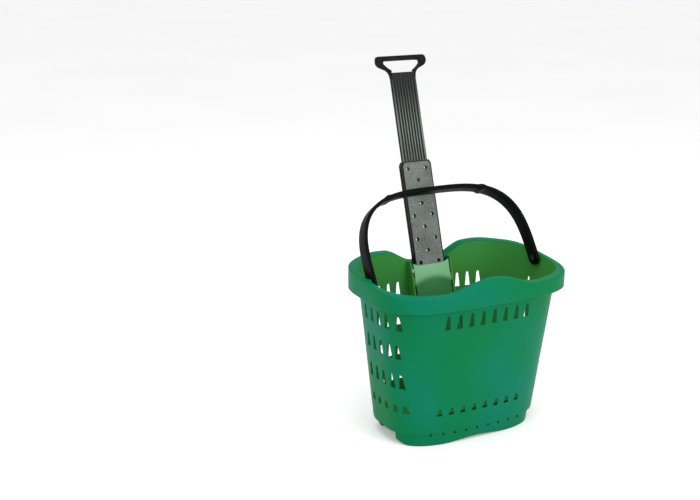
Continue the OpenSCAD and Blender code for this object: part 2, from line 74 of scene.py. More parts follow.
class Socket:
    """One output of a node. Operators on it add the node that works them out."""

    def __init__(self, recipe: Recipe, end: bpy.types.NodeSocket | None) -> None:
        """Wraps one end of a node.

        Args:
            recipe: The material's node book.
            end: The output that this object stands for.
        """
        self.recipe = recipe
        self.end = end

    def _join(self, operation: str, other: Socket | float, swapped: bool = False) -> Socket:
        """Adds the node for one operator.

        Args:
            operation: The operation's name, the same for values, vectors and colours.
            other: The other side, a socket or a number.
            swapped: True for the reflected form.

        Returns:
            The result's socket.
        """
        kind = self.end.type
        if kind == "VALUE":
            pair = (other, self) if swapped else (self, other)
            return self.recipe.node(
                "ShaderNodeMath", {"operation": operation}, {0: pair[0], 1: pair[1]}
            )
        if not isinstance(other, Socket):
            other = (other,) * 3 if kind == "VECTOR" else (other, other, other, 1.0)
        pair = (other, self) if swapped else (self, other)
        if kind == "VECTOR":
            return self.recipe.node(
                "ShaderNodeVectorMath", {"operation": operation}, {0: pair[0], 1: pair[1]}
            )
        return self.recipe.node(
            "ShaderNodeMix",
            {"data_type": "RGBA", "blend_type": operation},
            {0: 1.0, 6: pair[0], 7: pair[1]},
            out=2,
        )

    def __add__(self, other: Socket | float) -> Socket:
        """self + other."""
        return self._join("ADD", other)

    def __radd__(self, other: float) -> Socket:
        """other + self."""
        return self._join("ADD", other, swapped=True)

    def __sub__(self, other: Socket | float) -> Socket:
        """self - other."""
        return self._join("SUBTRACT", other)

    def __rsub__(self, other: float) -> Socket:
        """other - self."""
        return self._join("SUBTRACT", other, swapped=True)

    def __mul__(self, other: Socket | float) -> Socket:
        """self * other."""
        return self._join("MULTIPLY", other)

    def __rmul__(self, other: float) -> Socket:
        """other * self."""
        return self._join("MULTIPLY", other, swapped=True)

    def clamp(self) -> Socket:
        """The value kept between 0 and 1."""
        return self.recipe.node("ShaderNodeClamp", {}, {"Value": self})

    def dot(self, other: Socket) -> Socket:
        """The dot product of two vectors.

        Args:
            other: The other vector.

        Returns:
            The product, as a value.
        """
        return self.recipe.node(
            "ShaderNodeVectorMath", {"operation": "DOT_PRODUCT"}, {0: self, 1: other}, out="Value"
        )


class Recipe:
    """The node book of one material."""

    def __init__(self, name: str) -> None:
        """Starts an empty material.

        Args:
            name: The material's name.
        """
        self.material = bpy.data.materials.new(name)
        self.material.use_nodes = True
        self.tree = self.material.node_tree
        self.tree.nodes.clear()

    def node(
        self,
        kind: str,
        settings: Mapping[str, object] | None = None,
        inputs: Mapping[str | int, object] | None = None,
        out: str | int = 0,
    ) -> Socket:
        """Adds any node.

        Args:
            kind: The node's type.
            settings: Its settings, which are set first. "stops" are a ramp's stops.
            inputs: The value or link of each named or numbered socket.
            out: The output to give back.

        Returns:
            That output, or an empty one for a node without outputs.
        """
        made = self.tree.nodes.new(kind)
        for name, value in (settings or {}).items():
            if name == "stops":
                ramp = made.color_ramp.elements
                while len(ramp) < len(value):
                    ramp.new(0.5)
                for stop, (place, colour) in zip(ramp, value):
                    stop.position, stop.color = place, colour
            else:
                setattr(made, name, value)
        for key, value in (inputs or {}).items():
            end = made.inputs[key]
            if isinstance(value, Socket):
                self.tree.links.new(value.end, end)
            elif end.type == "RGBA" and len(value) == 3:
                end.default_value = (*value, 1.0)
            else:
                end.default_value = value
        return Socket(self, made.outputs[out] if made.outputs else None)

    def place(self, stretch: Point3 = (1.0, 1.0, 1.0)) -> Socket:
        """Where a point lies on its piece, stretched along each axis."""
        spot = self.node("ShaderNodeTexCoord", out="Object")
        return self.node("ShaderNodeVectorMath", {"operation": "MULTIPLY"}, {0: spot, 1: stretch})

    def split(self, axis: str) -> Socket:
        """One coordinate of a point on its piece, in metres."""
        return self.node("ShaderNodeSeparateXYZ", {}, {"Vector": self.place()}, out=axis)

    def noise(self, size_mm: float, detail: float = 2.0, stretch: Point3 = (1, 1, 1)) -> Socket:
        """Cloudy noise between 0 and 1.

        Args:
            size_mm: The size of its clouds.
            detail: How many finer layers it has.
            stretch: Scale along each axis.

        Returns:
            The noise's value.
        """
        return self.node(
            "ShaderNodeTexNoise",
            {},
            {"Vector": self.place(stretch), "Scale": 1 / (size_mm * MM), "Detail": detail},
        )

    def between(self, value: Socket, low: float, high: float) -> Socket:
        """0 where value is below low, 1 above high, and smooth between them.

        Args:
            value: What is compared.
            low: Where the answer leaves 0.
            high: Where it reaches 1.

        Returns:
            The eased share.
        """
        return self.node(
            "ShaderNodeMapRange",
            {"interpolation_type": "SMOOTHSTEP"},
            {"Value": value, "From Min": low, "From Max": high},
        )

    def mix(self, factor: Socket | float, first: Socket | Rgb, second: Socket | Rgb) -> Socket:
        """A colour that goes from first to second with the factor.

        Args:
            factor: The share of the second colour.
            first: The colour at 0.
            second: The colour at 1.

        Returns:
            The mixed colour.
        """
        return self.node(
            "ShaderNodeMix", {"data_type": "RGBA"}, {0: factor, 6: first, 7: second}, out=2
        )

    def finish(self, sockets: Mapping[str, object]) -> bpy.types.Material:
        """Closes the book with a Principled shader.

        Args:
            sockets: The shader's values and links.

        Returns:
            The material.
        """
        shader = self.node("ShaderNodeBsdfPrincipled", {}, sockets)
        self.node("ShaderNodeOutputMaterial", {}, {"Surface": shader})
        return self.material


@dataclass(frozen=True)
class Plastic:
    """A moulded or turned finish: a slow drift of colour, a mould's grain, rubs, and edges tinted
    by wear together with painted light: mostly a painted highlight, darker on the sleeve's field.
    """

    name: str
    base: Rgb
    shade: Rgb
    # Colour of the rounded edges: wear together with a painted highlight (darker on the sleeve's
    # field).
    edge_shading_and_wear: Rgb
    roughness: float
    drift_mm: float = 130.0
    grain_mm: float = 0.7
    grain_depth_mm: float = 0.03
    edge_mm: float = 0.8
    # How far the edges take that colour of wear and painted highlight.
    edge_shading_and_wear_share: float = 0.5
    edge_gain: float = 6.0
    rub_mm: float = 9.0
    streak_mm: float = 14.0
    streak_stretch: Point3 = (3.0, 3.0, 0.35)
    speckle: float = 0.0
    speckle_mm: float = 1.6
    speckle_tint: Rgb = (0.3, 0.32, 0.31)
    scuff: float = 0.08
    metallic: float = 0.0
    specular: float = 0.5
    glow: float = 0.0
    # Painted light or shade on a surface's upper part, above a low arch: the lit top of the
    # channel's panel, and the dark upper end of the painted highlight on the bar's ribs.
    top_shading: float = 0.0
    top_shading_tint: Rgb = (0.20, 0.46, 0.25)
    top_shading_edge: tuple[float, float, float] = (0.356, 5.0, 0.010)

    def top_shading_mask(self, book: Recipe) -> Socket:
        """Where the upper part of a surface takes a painted light or shade, above a low arch.

        Args:
            book: The recipe that the nodes are added to.

        Returns:
            The mask: 1 where the painted colour of the upper part is laid.
        """
        middle, curve, fade = self.top_shading_edge
        across = book.split("X")
        over = book.split("Z") + across * across * curve
        return book.between(over, middle - fade, middle + fade)

    def make(self) -> bpy.types.Material:
        """Builds the material.

        Returns:
            The finished material.
        """
        book = Recipe(self.name)
        drift = book.between(book.noise(self.drift_mm, 1.5), 0.35, 0.65)
        colour = book.mix(drift, self.base, self.shade)
        # Painted light or shade on the upper part of the surface.
        if self.top_shading:
            colour = book.mix(self.top_shading_mask(book) * self.top_shading, colour, self.top_shading_tint)
        rounded = book.node(
            "ShaderNodeBevel", {"samples": 4}, {"Radius": self.edge_mm * MM}
        )
        flat = book.node("ShaderNodeNewGeometry", out="Normal")
        edge = ((1.0 - rounded.dot(flat)) * self.edge_gain).clamp()
        rub = book.between(book.noise(self.rub_mm, 3.0), 0.3, 0.7)
        # Edges, patchy by the rubs, take the colour of wear and painted highlight.
        colour = book.mix(edge * (0.35 + 0.65 * rub) * self.edge_shading_and_wear_share, colour, self.edge_shading_and_wear)
        if self.speckle:
            fleck = book.between(book.noise(self.speckle_mm, 4.0), 0.5, 0.68)
            colour = book.mix(fleck * self.speckle, colour, self.speckle_tint)
        streak = book.between(book.noise(self.streak_mm, 4.0, self.streak_stretch), 0.4, 0.75)
        roughness = self.roughness + self.scuff * streak + 0.5 * self.scuff * rub
        grain = book.noise(self.grain_mm, 3.0)
        normal = book.node(
            "ShaderNodeBump",
            {},
            {
                "Strength": 0.6,
                "Distance": self.grain_depth_mm * MM,
                "Height": grain,
                "Normal": rounded,
            },
        )
        return book.finish(
            {
                "Base Color": colour,
                "Roughness": roughness,
                "Metallic": self.metallic,
                "Specular IOR Level": self.specular,
                "Emission Strength": self.glow,
                "Normal": normal,
            }
        )


class Finish(Enum):
    """The finishes of the basket, each with its own recipe."""

    GREEN_OUTSIDE = Plastic(
        "green_outside", (0.0006, 0.150, 0.047), (0.0010, 0.156, 0.086), (0.040, 0.30, 0.16), 0.34,
        drift_mm=230.0, edge_mm=1.1, edge_shading_and_wear_share=0.45, specular=0.05,
    )
    # The same green plastic as outside, painted brighter and more yellow for the inside faces:
    # painted light that passes through the walls and bounces between them.
    GREEN_INSIDE_PAINTED_LIGHT = Plastic(
        "green_inside_painted_light", (0.046, 0.235, 0.036), (0.034, 0.240, 0.056), (0.07, 0.32, 0.12), 0.40,
        drift_mm=190.0, edge_mm=1.1, edge_shading_and_wear_share=0.4, specular=0.08,
    )
    # The same green plastic again, for the channel's panel: its lower part darker, the painted
    # shadow of the front rim, and its upper part painted paler, as lit.
    GREEN_PANEL_PAINTED_LIGHT = Plastic(
        "green_panel_painted_light", (0.030, 0.150, 0.035), (0.024, 0.165, 0.050), (0.16, 0.42, 0.24), 0.30,
        drift_mm=90.0, edge_mm=1.0, edge_shading_and_wear_share=0.5, specular=0.12, top_shading=0.9,
    )
    SLEEVE_GREY = Plastic(
        "sleeve_grey", (0.055, 0.067, 0.060), (0.105, 0.122, 0.112), (0.010, 0.011, 0.011), 0.36,
        drift_mm=50.0, grain_mm=1.4, grain_depth_mm=0.12, edge_mm=0.8, edge_shading_and_wear_share=0.5,
        speckle=0.75, speckle_mm=2.2, speckle_tint=(0.24, 0.275, 0.255), specular=0.3,
    )
    SLEEVE_EDGE = Plastic(
        "sleeve_edge", (0.0030, 0.0038, 0.0036), (0.006, 0.007, 0.0065), (0.05, 0.058, 0.054), 0.36,
        drift_mm=60.0, grain_mm=1.1, grain_depth_mm=0.05, edge_mm=0.9, edge_shading_and_wear_share=0.5,
        specular=0.12,
    )
    # Painted highlight on the tops of the bar's ribs, darker towards the bar's upper end; the
    # grooves and sides keep the bar's own dark colour.
    BAR_RIB_HIGHLIGHT = Plastic(
        "bar_rib_highlight", (0.135, 0.165, 0.148), (0.080, 0.100, 0.090), (0.17, 0.21, 0.185), 0.34,
        drift_mm=120.0, edge_mm=0.5, edge_shading_and_wear_share=0.3, specular=0.2,
        top_shading=0.95, top_shading_tint=(0.006, 0.012, 0.0095), top_shading_edge=(0.765, 0.0, 0.085),
    )
    BAR_DARK = Plastic(
        "bar_dark", (0.0030, 0.0048, 0.0042), (0.0055, 0.0078, 0.0068), (0.03, 0.04, 0.035), 0.34,
        drift_mm=110.0, edge_mm=0.5, edge_shading_and_wear_share=0.3, specular=0.15,
    )
    CARRY_BLACK = Plastic(
        "carry_black", (0.0016, 0.0017, 0.0018), (0.0032, 0.0034, 0.0036), (0.022, 0.023, 0.025),
        0.42, drift_mm=60.0, grain_depth_mm=0.05, edge_mm=0.8, edge_shading_and_wear_share=0.3, specular=0.05,
    )
    GRIP_BLACK = Plastic(
        "grip_black", (0.0024, 0.0026, 0.0028), (0.0050, 0.0052, 0.0055), (0.030, 0.031, 0.032),
        0.46, drift_mm=30.0, grain_mm=2.2, grain_depth_mm=0.22, edge_mm=0.9, edge_shading_and_wear_share=0.4,
        speckle=0.35, speckle_mm=2.6, speckle_tint=(0.040, 0.042, 0.043), specular=0.08,
    )
    COVER_BLACK = Plastic(
        "cover_black", (0.0050, 0.0055, 0.0060), (0.009, 0.010, 0.0105), (0.04, 0.043, 0.045),
        0.42, grain_depth_mm=0.06, specular=0.25,
    )
    SHOE_BLACK = Plastic(
        "shoe_black", (0.006, 0.0065, 0.0065), (0.010, 0.0105, 0.0105), (0.04, 0.04, 0.04), 0.37,
        drift_mm=30.0, specular=0.25,
    )
    PIVOT_GREY = Plastic(
        "pivot_grey", (0.012, 0.013, 0.014), (0.020, 0.022, 0.023), (0.07, 0.073, 0.076), 0.35,
        drift_mm=20.0, specular=0.3,
    )
    HUB_BLACK = Plastic(
        "hub_black", (0.010, 0.011, 0.012), (0.017, 0.018, 0.019), (0.06, 0.063, 0.065), 0.40,
        drift_mm=20.0, specular=0.3,
    )
    TYRE_RUBBER = Plastic(
        "tyre_rubber", (0.007, 0.007, 0.0075), (0.015, 0.015, 0.0145), (0.05, 0.049, 0.046), 0.68,
        drift_mm=14.0, grain_mm=0.9, grain_depth_mm=0.12, scuff=0.16, specular=0.2,
    )
    STEEL = Plastic(
        "steel", (0.30, 0.31, 0.32), (0.40, 0.41, 0.42), (0.55, 0.56, 0.57), 0.28,
        drift_mm=12.0, grain_mm=0.5, grain_depth_mm=0.02, edge_mm=0.3, metallic=1.0, scuff=0.14,
    )
    FLOOR_PAPER = Plastic(
        "floor_paper", (0.93, 0.93, 0.93), (0.95, 0.95, 0.95), (0.9, 0.9, 0.9), 0.85,
        drift_mm=900.0, grain_mm=3.0, grain_depth_mm=0.05, edge_shading_and_wear_share=0.0, specular=0.1,
        glow=0.17,
    )


# ---- Shapes ----


def shift(x: float, y: float, z: float) -> Matrix:
    """A move along the three axes."""
    return Matrix.Translation((x, y, z))


def spin(turn: float, axis: str) -> Matrix:
    """A turn round an axis, in radians."""
    return Matrix.Rotation(turn, 4, axis)


class Cut(Enum):
    """How two closed shapes are put together."""

    JOIN = "UNION"
    TAKE = "DIFFERENCE"
    KEEP = "INTERSECT"


class Shape:
    """A closed mesh in millimetres.

    + joins another to it, - takes it away, and & keeps what they share. An operator uses up both
    sides, and gives back the left one.
    """

    def __init__(self, vertices: Sequence[Point3], faces: Sequence[Sequence[int]]) -> None:
        """Makes a mesh with its faces turned outwards.

        Args:
            vertices: Its points.
            faces: The points of each face.
        """
        mesh = bpy.data.meshes.new("shape")
        mesh.from_pydata([tuple(v) for v in vertices], [], [tuple(f) for f in faces])
        book = bmesh.new()
        book.from_mesh(mesh)
        bmesh.ops.recalc_face_normals(book, faces=book.faces[:])
        book.to_mesh(mesh)
        book.free()
        self.obj = bpy.data.objects.new("shape", mesh)
        bpy.context.scene.collection.objects.link(self.obj)

    def turned(self, matrix: Matrix) -> Shape:
        """Moves the shape's points by a matrix, and keeps its faces outwards if it mirrors.

        Args:
            matrix: The matrix that moves the points.

        Returns:
            This shape.
        """
        self.obj.data.transform(matrix)
        if matrix.determinant() < 0:
            self.obj.data.flip_normals()
        return self

    def without_crumbs(self, least: int = 40) -> Shape:
        """Drops loose parts that have fewer points than the least.

        Args:
            least: The fewest points that a part may have.

        Returns:
            This shape.
        """
        book = bmesh.new()
        book.from_mesh(self.obj.data)
        left = set(book.verts)
        while left:
            part, edge = set(), [left.pop()]
            while edge:
                point = edge.pop()
                part.add(point)
                for link in point.link_edges:
                    other = link.other_vert(point)
                    if other in left:
                        left.discard(other)
                        edge.append(other)
            if len(part) < least:
                bmesh.ops.delete(book, geom=list(part), context="VERTS")
        book.to_mesh(self.obj.data)
        book.free()
        return self

    def settle(self) -> None:
        """Turns the modifiers' result into the shape's own mesh."""
        seen = self.obj.evaluated_get(bpy.context.evaluated_depsgraph_get())
        mesh = bpy.data.meshes.new_from_object(seen)
        old = self.obj.data
        self.obj.modifiers.clear()
        self.obj.data = mesh
        bpy.data.meshes.remove(old)

    def _carve(self, tool: Shape, cut: Cut) -> Shape:
        """Puts another shape to this one and removes it.

        Args:
            tool: The other shape.
            cut: How they go together.

        Returns:
            This shape.
        """
        boolean = self.obj.modifiers.new("carve", "BOOLEAN")
        boolean.operation = cut.value
        boolean.solver = "MANIFOLD"
        boolean.object = tool.obj
        self.settle()
        tool.remove()
        if not self.obj.data.polygons:
            LOG.warning("a %s left nothing", cut.name)
        return self

    def remove(self) -> None:
        """Removes the shape's object and mesh."""
        mesh = self.obj.data
        bpy.data.objects.remove(self.obj)
        bpy.data.meshes.remove(mesh)

    def __add__(self, other: Shape) -> Shape:
        """Joins the other shape to this one."""
        return self._carve(other, Cut.JOIN)

    def __sub__(self, other: Shape) -> Shape:
        """Takes the other shape away."""
        return self._carve(other, Cut.TAKE)

    def __and__(self, other: Shape) -> Shape:
        """Keeps what the two shapes share."""
        return self._carve(other, Cut.KEEP)

    def bevel(self, width: float, segments: int = 2, angle: float = 38.0) -> Shape:
        """Rounds the sharp edges.

        Args:
            width: How far the rounding reaches from the edge.
            segments: How many faces it has.
            angle: The least turn of an edge that is rounded, in degrees.

        Returns:
            This shape.
        """
        mod = self.obj.modifiers.new("round", "BEVEL")
        mod.width = width
        mod.segments = segments
        mod.limit_method = "ANGLE"
        mod.angle_limit = math.radians(angle)
        mod.use_clamp_overlap = True
        self.settle()
        return self


def gather(shapes: Iterable[Shape]) -> Shape:
    """One shape of several that don't touch one another, which are used up.

    Args:
        shapes: The shapes that are joined.

    Returns:
        The one shape.
    """
    vertices: list[Point3] = []
    faces: list[list[int]] = []
    for shape in list(shapes):
        start = len(vertices)
        mesh = shape.obj.data
        vertices += [tuple(v.co) for v in mesh.vertices]
        faces += [[start + i for i in p.vertices] for p in mesh.polygons]
        shape.remove()
    return Shape(vertices, faces)


def skin(rings: Sequence[Sequence[Point3]], closed: bool = False) -> Shape:
    """A skin over rings of as many points each.

    Args:
        rings: The rings, in order.
        closed: True to join the last ring to the first, and False to cap both ends.

    Returns:
        The closed shape.
    """
    count = len(rings[0])
    steps = len(rings) if closed else len(rings) - 1
    faces = [
        [
            r * count + i,
            r * count + (i + 1) % count,
            ((r + 1) % len(rings)) * count + (i + 1) % count,
            ((r + 1) % len(rings)) * count + i,
        ]
        for r in range(steps)
        for i in range(count)
    ]
    if not closed:
        last = (len(rings) - 1) * count
        faces += [list(range(count)), list(range(last, last + count))]
    return Shape([p for ring in rings for p in ring], faces)


def prism(outline: Sequence[Point2], low: float, high: float) -> Shape:
    """An outline in X and Y, drawn out from low to high along Z."""
    return skin([[(x, y, z) for x, y in outline] for z in (low, high)])


def plate(outline: Sequence[Point2], front: float, back: float) -> Shape:
    """An outline in X and Z, drawn out from front to back along Y."""
    return skin([[(x, y, z) for x, z in outline] for y in (front, back)])


def block(low: Point3, high: Point3) -> Shape:
    """A block between two corners."""
    (x0, y0, z0), (x1, y1, z1) = low, high
    return prism([(x0, y0), (x1, y0), (x1, y1), (x0, y1)], z0, z1)


def circle(radius: float, count: int = 32) -> list[Point2]:
    """The points of a circle round the origin.

    Args:
        radius: The radius.
        count: How many points.

    Returns:
        The points in order.
    """
    return [
        (radius * math.cos(math.tau * i / count), radius * math.sin(math.tau * i / count))
        for i in range(count)
    ]


def rod(radius: float, low: float, high: float, count: int = 32) -> Shape:
    """A round rod along Z."""
    return prism(circle(radius, count), low, high)


def lathe(profile: Sequence[Point2], count: int = 72) -> Shape:
    """A closed profile of radius and place, turned round the X axis.

    Args:
        profile: Pairs of radius and place along the axis.
        count: How many sides.

    Returns:
        The turned solid.
    """
    rings = []
    for i in range(count):
        turn = math.tau * i / count
        rings.append([(x, r * math.cos(turn), r * math.sin(turn)) for r, x in profile])
    return skin(rings, closed=True)


def rounded_box(half_w: float, half_t: float, radius: float, steps: int = 5) -> list[Point2]:
    """The outline of a box with round corners, round the origin.

    Args:
        half_w: Half of the width.
        half_t: Half of the thickness.
        radius: The corners' radius.
        steps: Steps in each corner.

    Returns:
        The outline in order.
    """
    points = []
    for corner, (sx, sy) in enumerate(((1, 1), (-1, 1), (-1, -1), (1, -1))):
        for i in range(steps + 1):
            turn = math.radians(90 * (corner + i / steps))
            points.append(
                (
                    sx * (half_w - radius) + radius * math.cos(turn),
                    sy * (half_t - radius) + radius * math.sin(turn),
                )
            )
    return points


def both_sides(right: Sequence[Point2]) -> list[Point2]:
    """An outline and its mirror image, as one round."""
    return [*right, *[(-x, z) for x, z in reversed(right)]]


def blend(t: float) -> float:
    """1 up to 0, 0 from 1 on, and a smooth fall between them."""
    return 0.5 + 0.5 * math.cos(math.pi * min(max(t, 0.0), 1.0))


def signed_pow(value: float, power: float) -> float:
    """A power that keeps the value's sign."""
    return math.copysign(abs(value) ** power, value)


def squared(a: float, b: float, power: float, turn: float) -> Point2:
    """A point of a squared-off ellipse round the origin."""
    share = 2 / power
    return (a * signed_pow(math.cos(turn), share), b * signed_pow(math.sin(turn), share))


def even_turns(a: float, b: float, power: float, count: int) -> list[float]:
    """The turns at which a squared-off ellipse's points lie evenly along it.

    Args:
        a: Its half-length.
        b: Its half-depth.
        power: Its squareness.
        count: How many points it gets.

    Returns:
        The turns, in radians.
    """
    fine = 8192
    turns = [math.tau * i / fine for i in range(fine + 1)]
    points = [squared(a, b, power, t) for t in turns]
    along = [0.0]
    for p, q in zip(points, points[1:]):
        along.append(along[-1] + math.dist(p, q))
    found, k = [], 0
    for i in range(count):
        want = along[-1] * i / count
        while along[k + 1] < want:
            k += 1
        share = (want - along[k]) / max(along[k + 1] - along[k], 1e-9)
        found.append(turns[k] + share * (turns[k + 1] - turns[k]))
    return found


# ---- Hand-over ----


@dataclass
class Bench:
    """Where shapes become pieces: it knows the frame's place and keeps the materials."""

    mid_y: float
    dressed: dict[Finish, bpy.types.Material] = field(default_factory=dict)

    def material(self, finish: Finish) -> bpy.types.Material:
        """The finish's material, made once.

        Args:
            finish: The finish.

        Returns:
            Its material.
        """
        if finish not in self.dressed:
            self.dressed[finish] = finish.value.make()
        return self.dressed[finish]

    def hand_over(
        self,
        shape: Shape,
        name: str,
        body: str,
        finishes: Sequence[Finish],
        nodes: Sequence[str],
        pick: Callable[[Vector, Vector], int] | None = None,
        smooth: float = 32.0,
    ) -> bpy.types.Object:
        """Turns a shape into a piece of the model.

        Args:
            shape: The shape, in millimetres.
            name: The piece's name.
            body: The body that it rides on.
            finishes: Its finishes.
            nodes: The frame's nodes that it stands for.
            pick: Gives the finish's number for a face's middle and normal, in millimetres.
            smooth: The greatest turn between faces that are shaded as one, in degrees.

        Returns:
            The piece.
        """
        piece = shape.obj
        piece.name = piece.data.name = name
        mesh = piece.data
        mesh.materials.clear()
        for finish in finishes:
            mesh.materials.append(self.material(finish))
        for face in mesh.polygons:
            face.material_index = pick(face.center, face.normal) if pick else 0
        mesh.transform(Matrix.Scale(MM, 4) @ shift(0, -self.mid_y, 0))
        mesh.shade_smooth()
        mesh.set_sharp_from_angle(angle=math.radians(smooth))
        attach(piece, body)
        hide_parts(*nodes)
        LOG.info("%s rides on %s with %d faces", name, body, len(mesh.polygons))
        return piece

    def dress(self, node: str, finish: Finish) -> None:
        """Gives a node of the frame its finish.

        Args:
            node: The node's name.
            finish: Its finish.
        """
        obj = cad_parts[node]
        if not obj.data.materials:
            obj.data.materials.append(self.material(finish))
        for slot in obj.material_slots:
            slot.material = self.material(finish)
        LOG.info("%s keeps its shape, in %s", node, finish.name)


# ---- Basket ----


@dataclass
class Basket:
    """The moulded basket: body, rim, foot, channel and slots, in one piece."""

    body_a: float = 202.0
    body_front: float = 111.0
    body_back: float = 108.0
    side_draft: float = 0.112
    front_draft: float = 0.107
    back_draft: float = 0.092
    body_power: float = 3.2
    wall: float = 3.0
    floor_top: float = 49.0
    hem_z: float = 34.0
    rim_length: float = 520.0
    rim_depth: float = 340.0
    rim_power: float = 3.6
    rim_z: float = 411.0
    rim_slope: float = 0.07
    skirt_z: float = 363.0
    hump_rise: float = 29.0
    hump_half: float = 140.0
    dip_fall: float = 33.0
    dip_half: float = 115.0
    dip_flat: float = 30.0
    shoulder_x: float = 155.0
    shoulder_half: float = 70.0
    shoulder_rise: float = 4.0
    wave_depth: float = 260.0
    wave_beyond: float = 20.0
    rim_round: float = 4.2
    lip_round: float = 1.3
    lip_h: float = 7.0
    lip_t: float = 2.4
    slot_w: float = 15.0
    slot_top_w: float = 8.0
    slot_h: float = 37.0
    short_slot_h: float = 20.0
    front_pitch: float = 31.7
    side_pitch: float = 30.4
    back_pitch: float = 29.2
    back_slot_x: float = 88.8
    side_slot_mid_y: float = -34.0
    corner_slot_shift: float = 10.0
    top_row_z: float = 308.0
    second_row_z: float = 234.0
    third_row_z: float = 156.0
    low_row_z: float = 91.0
    front_low_row_z: float = 80.0
    drain_z: float = 25.0
    drain_h: float = 9.0
    foot_depth: float = 66.0
    foot_inset: float = 8.0
    foot_step: float = 1.5
    foot_arch: float = 7.0
    arch_half: float = 110.0
    foot_corner: float = 24.0
    lean: float = 18.16
    lean_y0: float = -2.0
    sleeve_w: float = 86.0
    sleeve_t: float = 18.0
    slide_fit: float = 0.6
    channel_half: float = 57.0
    panel_half: float = 51.4
    screw_x: float = 52.0
    panel_top: float = 421.0
    panel_sag: float = 8.0
    panel_crown: float = 3.0
    slit_w: float = 4.2
    lug_h: float = 20.0
    low_lug: float = 90.0
    stop_lug: float = 265.5
    top_lug: float = 355.0
    carry_half: float = 235.0
    carry_t: float = 7.0
    pivot_y: float = 5.0
    pivot_z: float = 402.0
    pivot_d: float = 8.0
    wheel_x: float = 168.0
    wheel_y: float = 56.0
    rib_inset: float = 1.6
    rib_h: float = 90.0
    rib_xs: tuple[float, ...] = (-160, -96, -32, 32, 96, 160)
    rib_ys: tuple[float, ...] = (-100, -50, 60, 100)
    boss_r: float = 9.0
    boss_gap: float = 0.3
    post_r: float = 4.0
    post_y: float = 14.0
    front_slots: int = 8
    side_slots: int = 5
    back_slots: int = 3
    drains: int = 9
    outline_points: int = 300
    loft_foot: float = -10.0
    loft_top: float = 470.0

    def __post_init__(self) -> None:
        """Works out the turns of the two outlines."""
        self.body_turns = even_turns(245, 148, self.body_power, self.outline_points)
        self.rim_turns = even_turns(
            self.rim_length / 2, self.rim_depth / 2, self.rim_power, self.outline_points
        )

    def leaning(self) -> Matrix:
        """From the pull handle's leaning frame to the basket's."""
        tilt = spin(-math.radians(self.lean), "X")
        return shift(0, self.lean_y0, 0) @ tilt

    def body_half(self, z: float) -> float:
        """The body's half-length at a height."""
        return self.body_a + self.side_draft * z

    def front_at(self, z: float) -> float:
        """The front wall's place at a height."""
        return -(self.body_front + self.front_draft * z)

    def back_at(self, z: float) -> float:
        """The back wall's place at a height."""
        return self.body_back + self.back_draft * z

    def inside(self, x: float, y: float, z: float, inset: float, aside: float = 0.0) -> bool:
        """True where a point lies within the body's outline, set in by inset.

        Args:
            x: Across.
            y: From front to back.
            z: The height.
            inset: How far the outline is set in.
            aside: A further inset at the sides.

        Returns:
            Whether the point is inside.
        """
        front, back = self.front_at(z) + inset, self.back_at(z) - inset
        across = abs(x) / (self.body_half(z) - inset - aside)
        deep = abs(y - (front + back) / 2) / ((back - front) / 2)
        return across**self.body_power + deep**self.body_power < 1

    def body_ring(self, z: float, inset: float, side_inset: float = 0.0) -> list[Point3]:
        """The body's outline at a height, set in from its outer face.

        Args:
            z: The height.
            inset: How far the ring is set in.
            side_inset: The inset at the sides, if it differs.

        Returns:
            The ring's points.
        """
        front, back = self.front_at(z) + inset, self.back_at(z) - inset
        a, b, mid = self.body_half(z) - inset - side_inset, (back - front) / 2, (back + front) / 2
        flat = [squared(a, b, self.body_power, t) for t in self.body_turns]
        return [(x, mid + y, z) for x, y in flat]

    def body_loft(self, inset: float, side_inset: float = 0.0) -> Shape:
        """The whole tapered solid, set in from its outer face."""
        return skin([self.body_ring(z, inset, side_inset) for z in (self.loft_foot, self.loft_top)])

    def slab(self, low: float, high: float) -> Shape:
        """Everything between two heights."""
        return block((-BEYOND, -BEYOND, low), (BEYOND, BEYOND, high))

    def rise(self, x: float, front: bool) -> float:
        """How far the rim's wave lies above its plane.

        Args:
            x: Across.
            front: Whether this is the front half.

        Returns:
            The rise in mm.
        """
        if front:
            return self.hump_rise * blend(abs(x) / self.hump_half)
        fall = blend((abs(x) - self.dip_flat) / (self.dip_half - self.dip_flat))
        shoulder = blend(abs(abs(x) - self.shoulder_x) / self.shoulder_half)
        return self.shoulder_rise * shoulder - self.dip_fall * fall

    def rim_at(self, x: float, y: float, front: bool | None = None) -> float:
        """The height of the rim's top, by the wave of the half that is asked for.

        Args:
            x: Across.
            y: From front to back.
            front: The half that is asked for, or None for the one that y is in.

        Returns:
            The height in mm.
        """
        tilt = math.cos(math.atan(self.rim_slope))
        wave = self.rise(x, y < 0 if front is None else front)
        return self.rim_z + self.rim_slope * y + wave / tilt

    def above_rim(self, down: float) -> list[Shape]:
        """Everything above the rim's wave set down a little: the front half and the back one.

        Args:
            down: How far the wave is set down.

        Returns:
            The two halves, as cutters.
        """
        halves = []
        reach, sky = self.rim_length / 2 + self.wave_beyond, BEYOND + 300
        for y0, y1 in ((-self.wave_depth, 0.1), (0.0, self.wave_depth)):
            front, rings = y0 < 0, []
            for i in range(int(reach) + 1):
                x = 2 * i - reach
                rings.append(
                    [
                        (x, y0, self.rim_at(x, y0, front) - down),
                        (x, y1, self.rim_at(x, y1, front) - down),
                        (x, y1, sky),
                        (x, y0, sky),
                    ]
                )
            halves.append(skin(rings))
        return halves

    def ledge_reach(self, x: float, y: float, normal: Point2, z: float, inset: float) -> float:
        """How far the body's face lies inwards from a point of the rim's outline.

        Args:
            x: Across.
            y: From front to back.
            normal: The outline's outward direction there.
            z: The height.
            inset: How far the body's face is set in.

        Returns:
            The distance in mm.
        """
        low, high = 0.0, 80.0
        for _ in range(40):
            mid = (low + high) / 2
            if self.inside(x - mid * normal[0], y - mid * normal[1], z, inset):
                high = mid
            else:
                low = mid
        return high

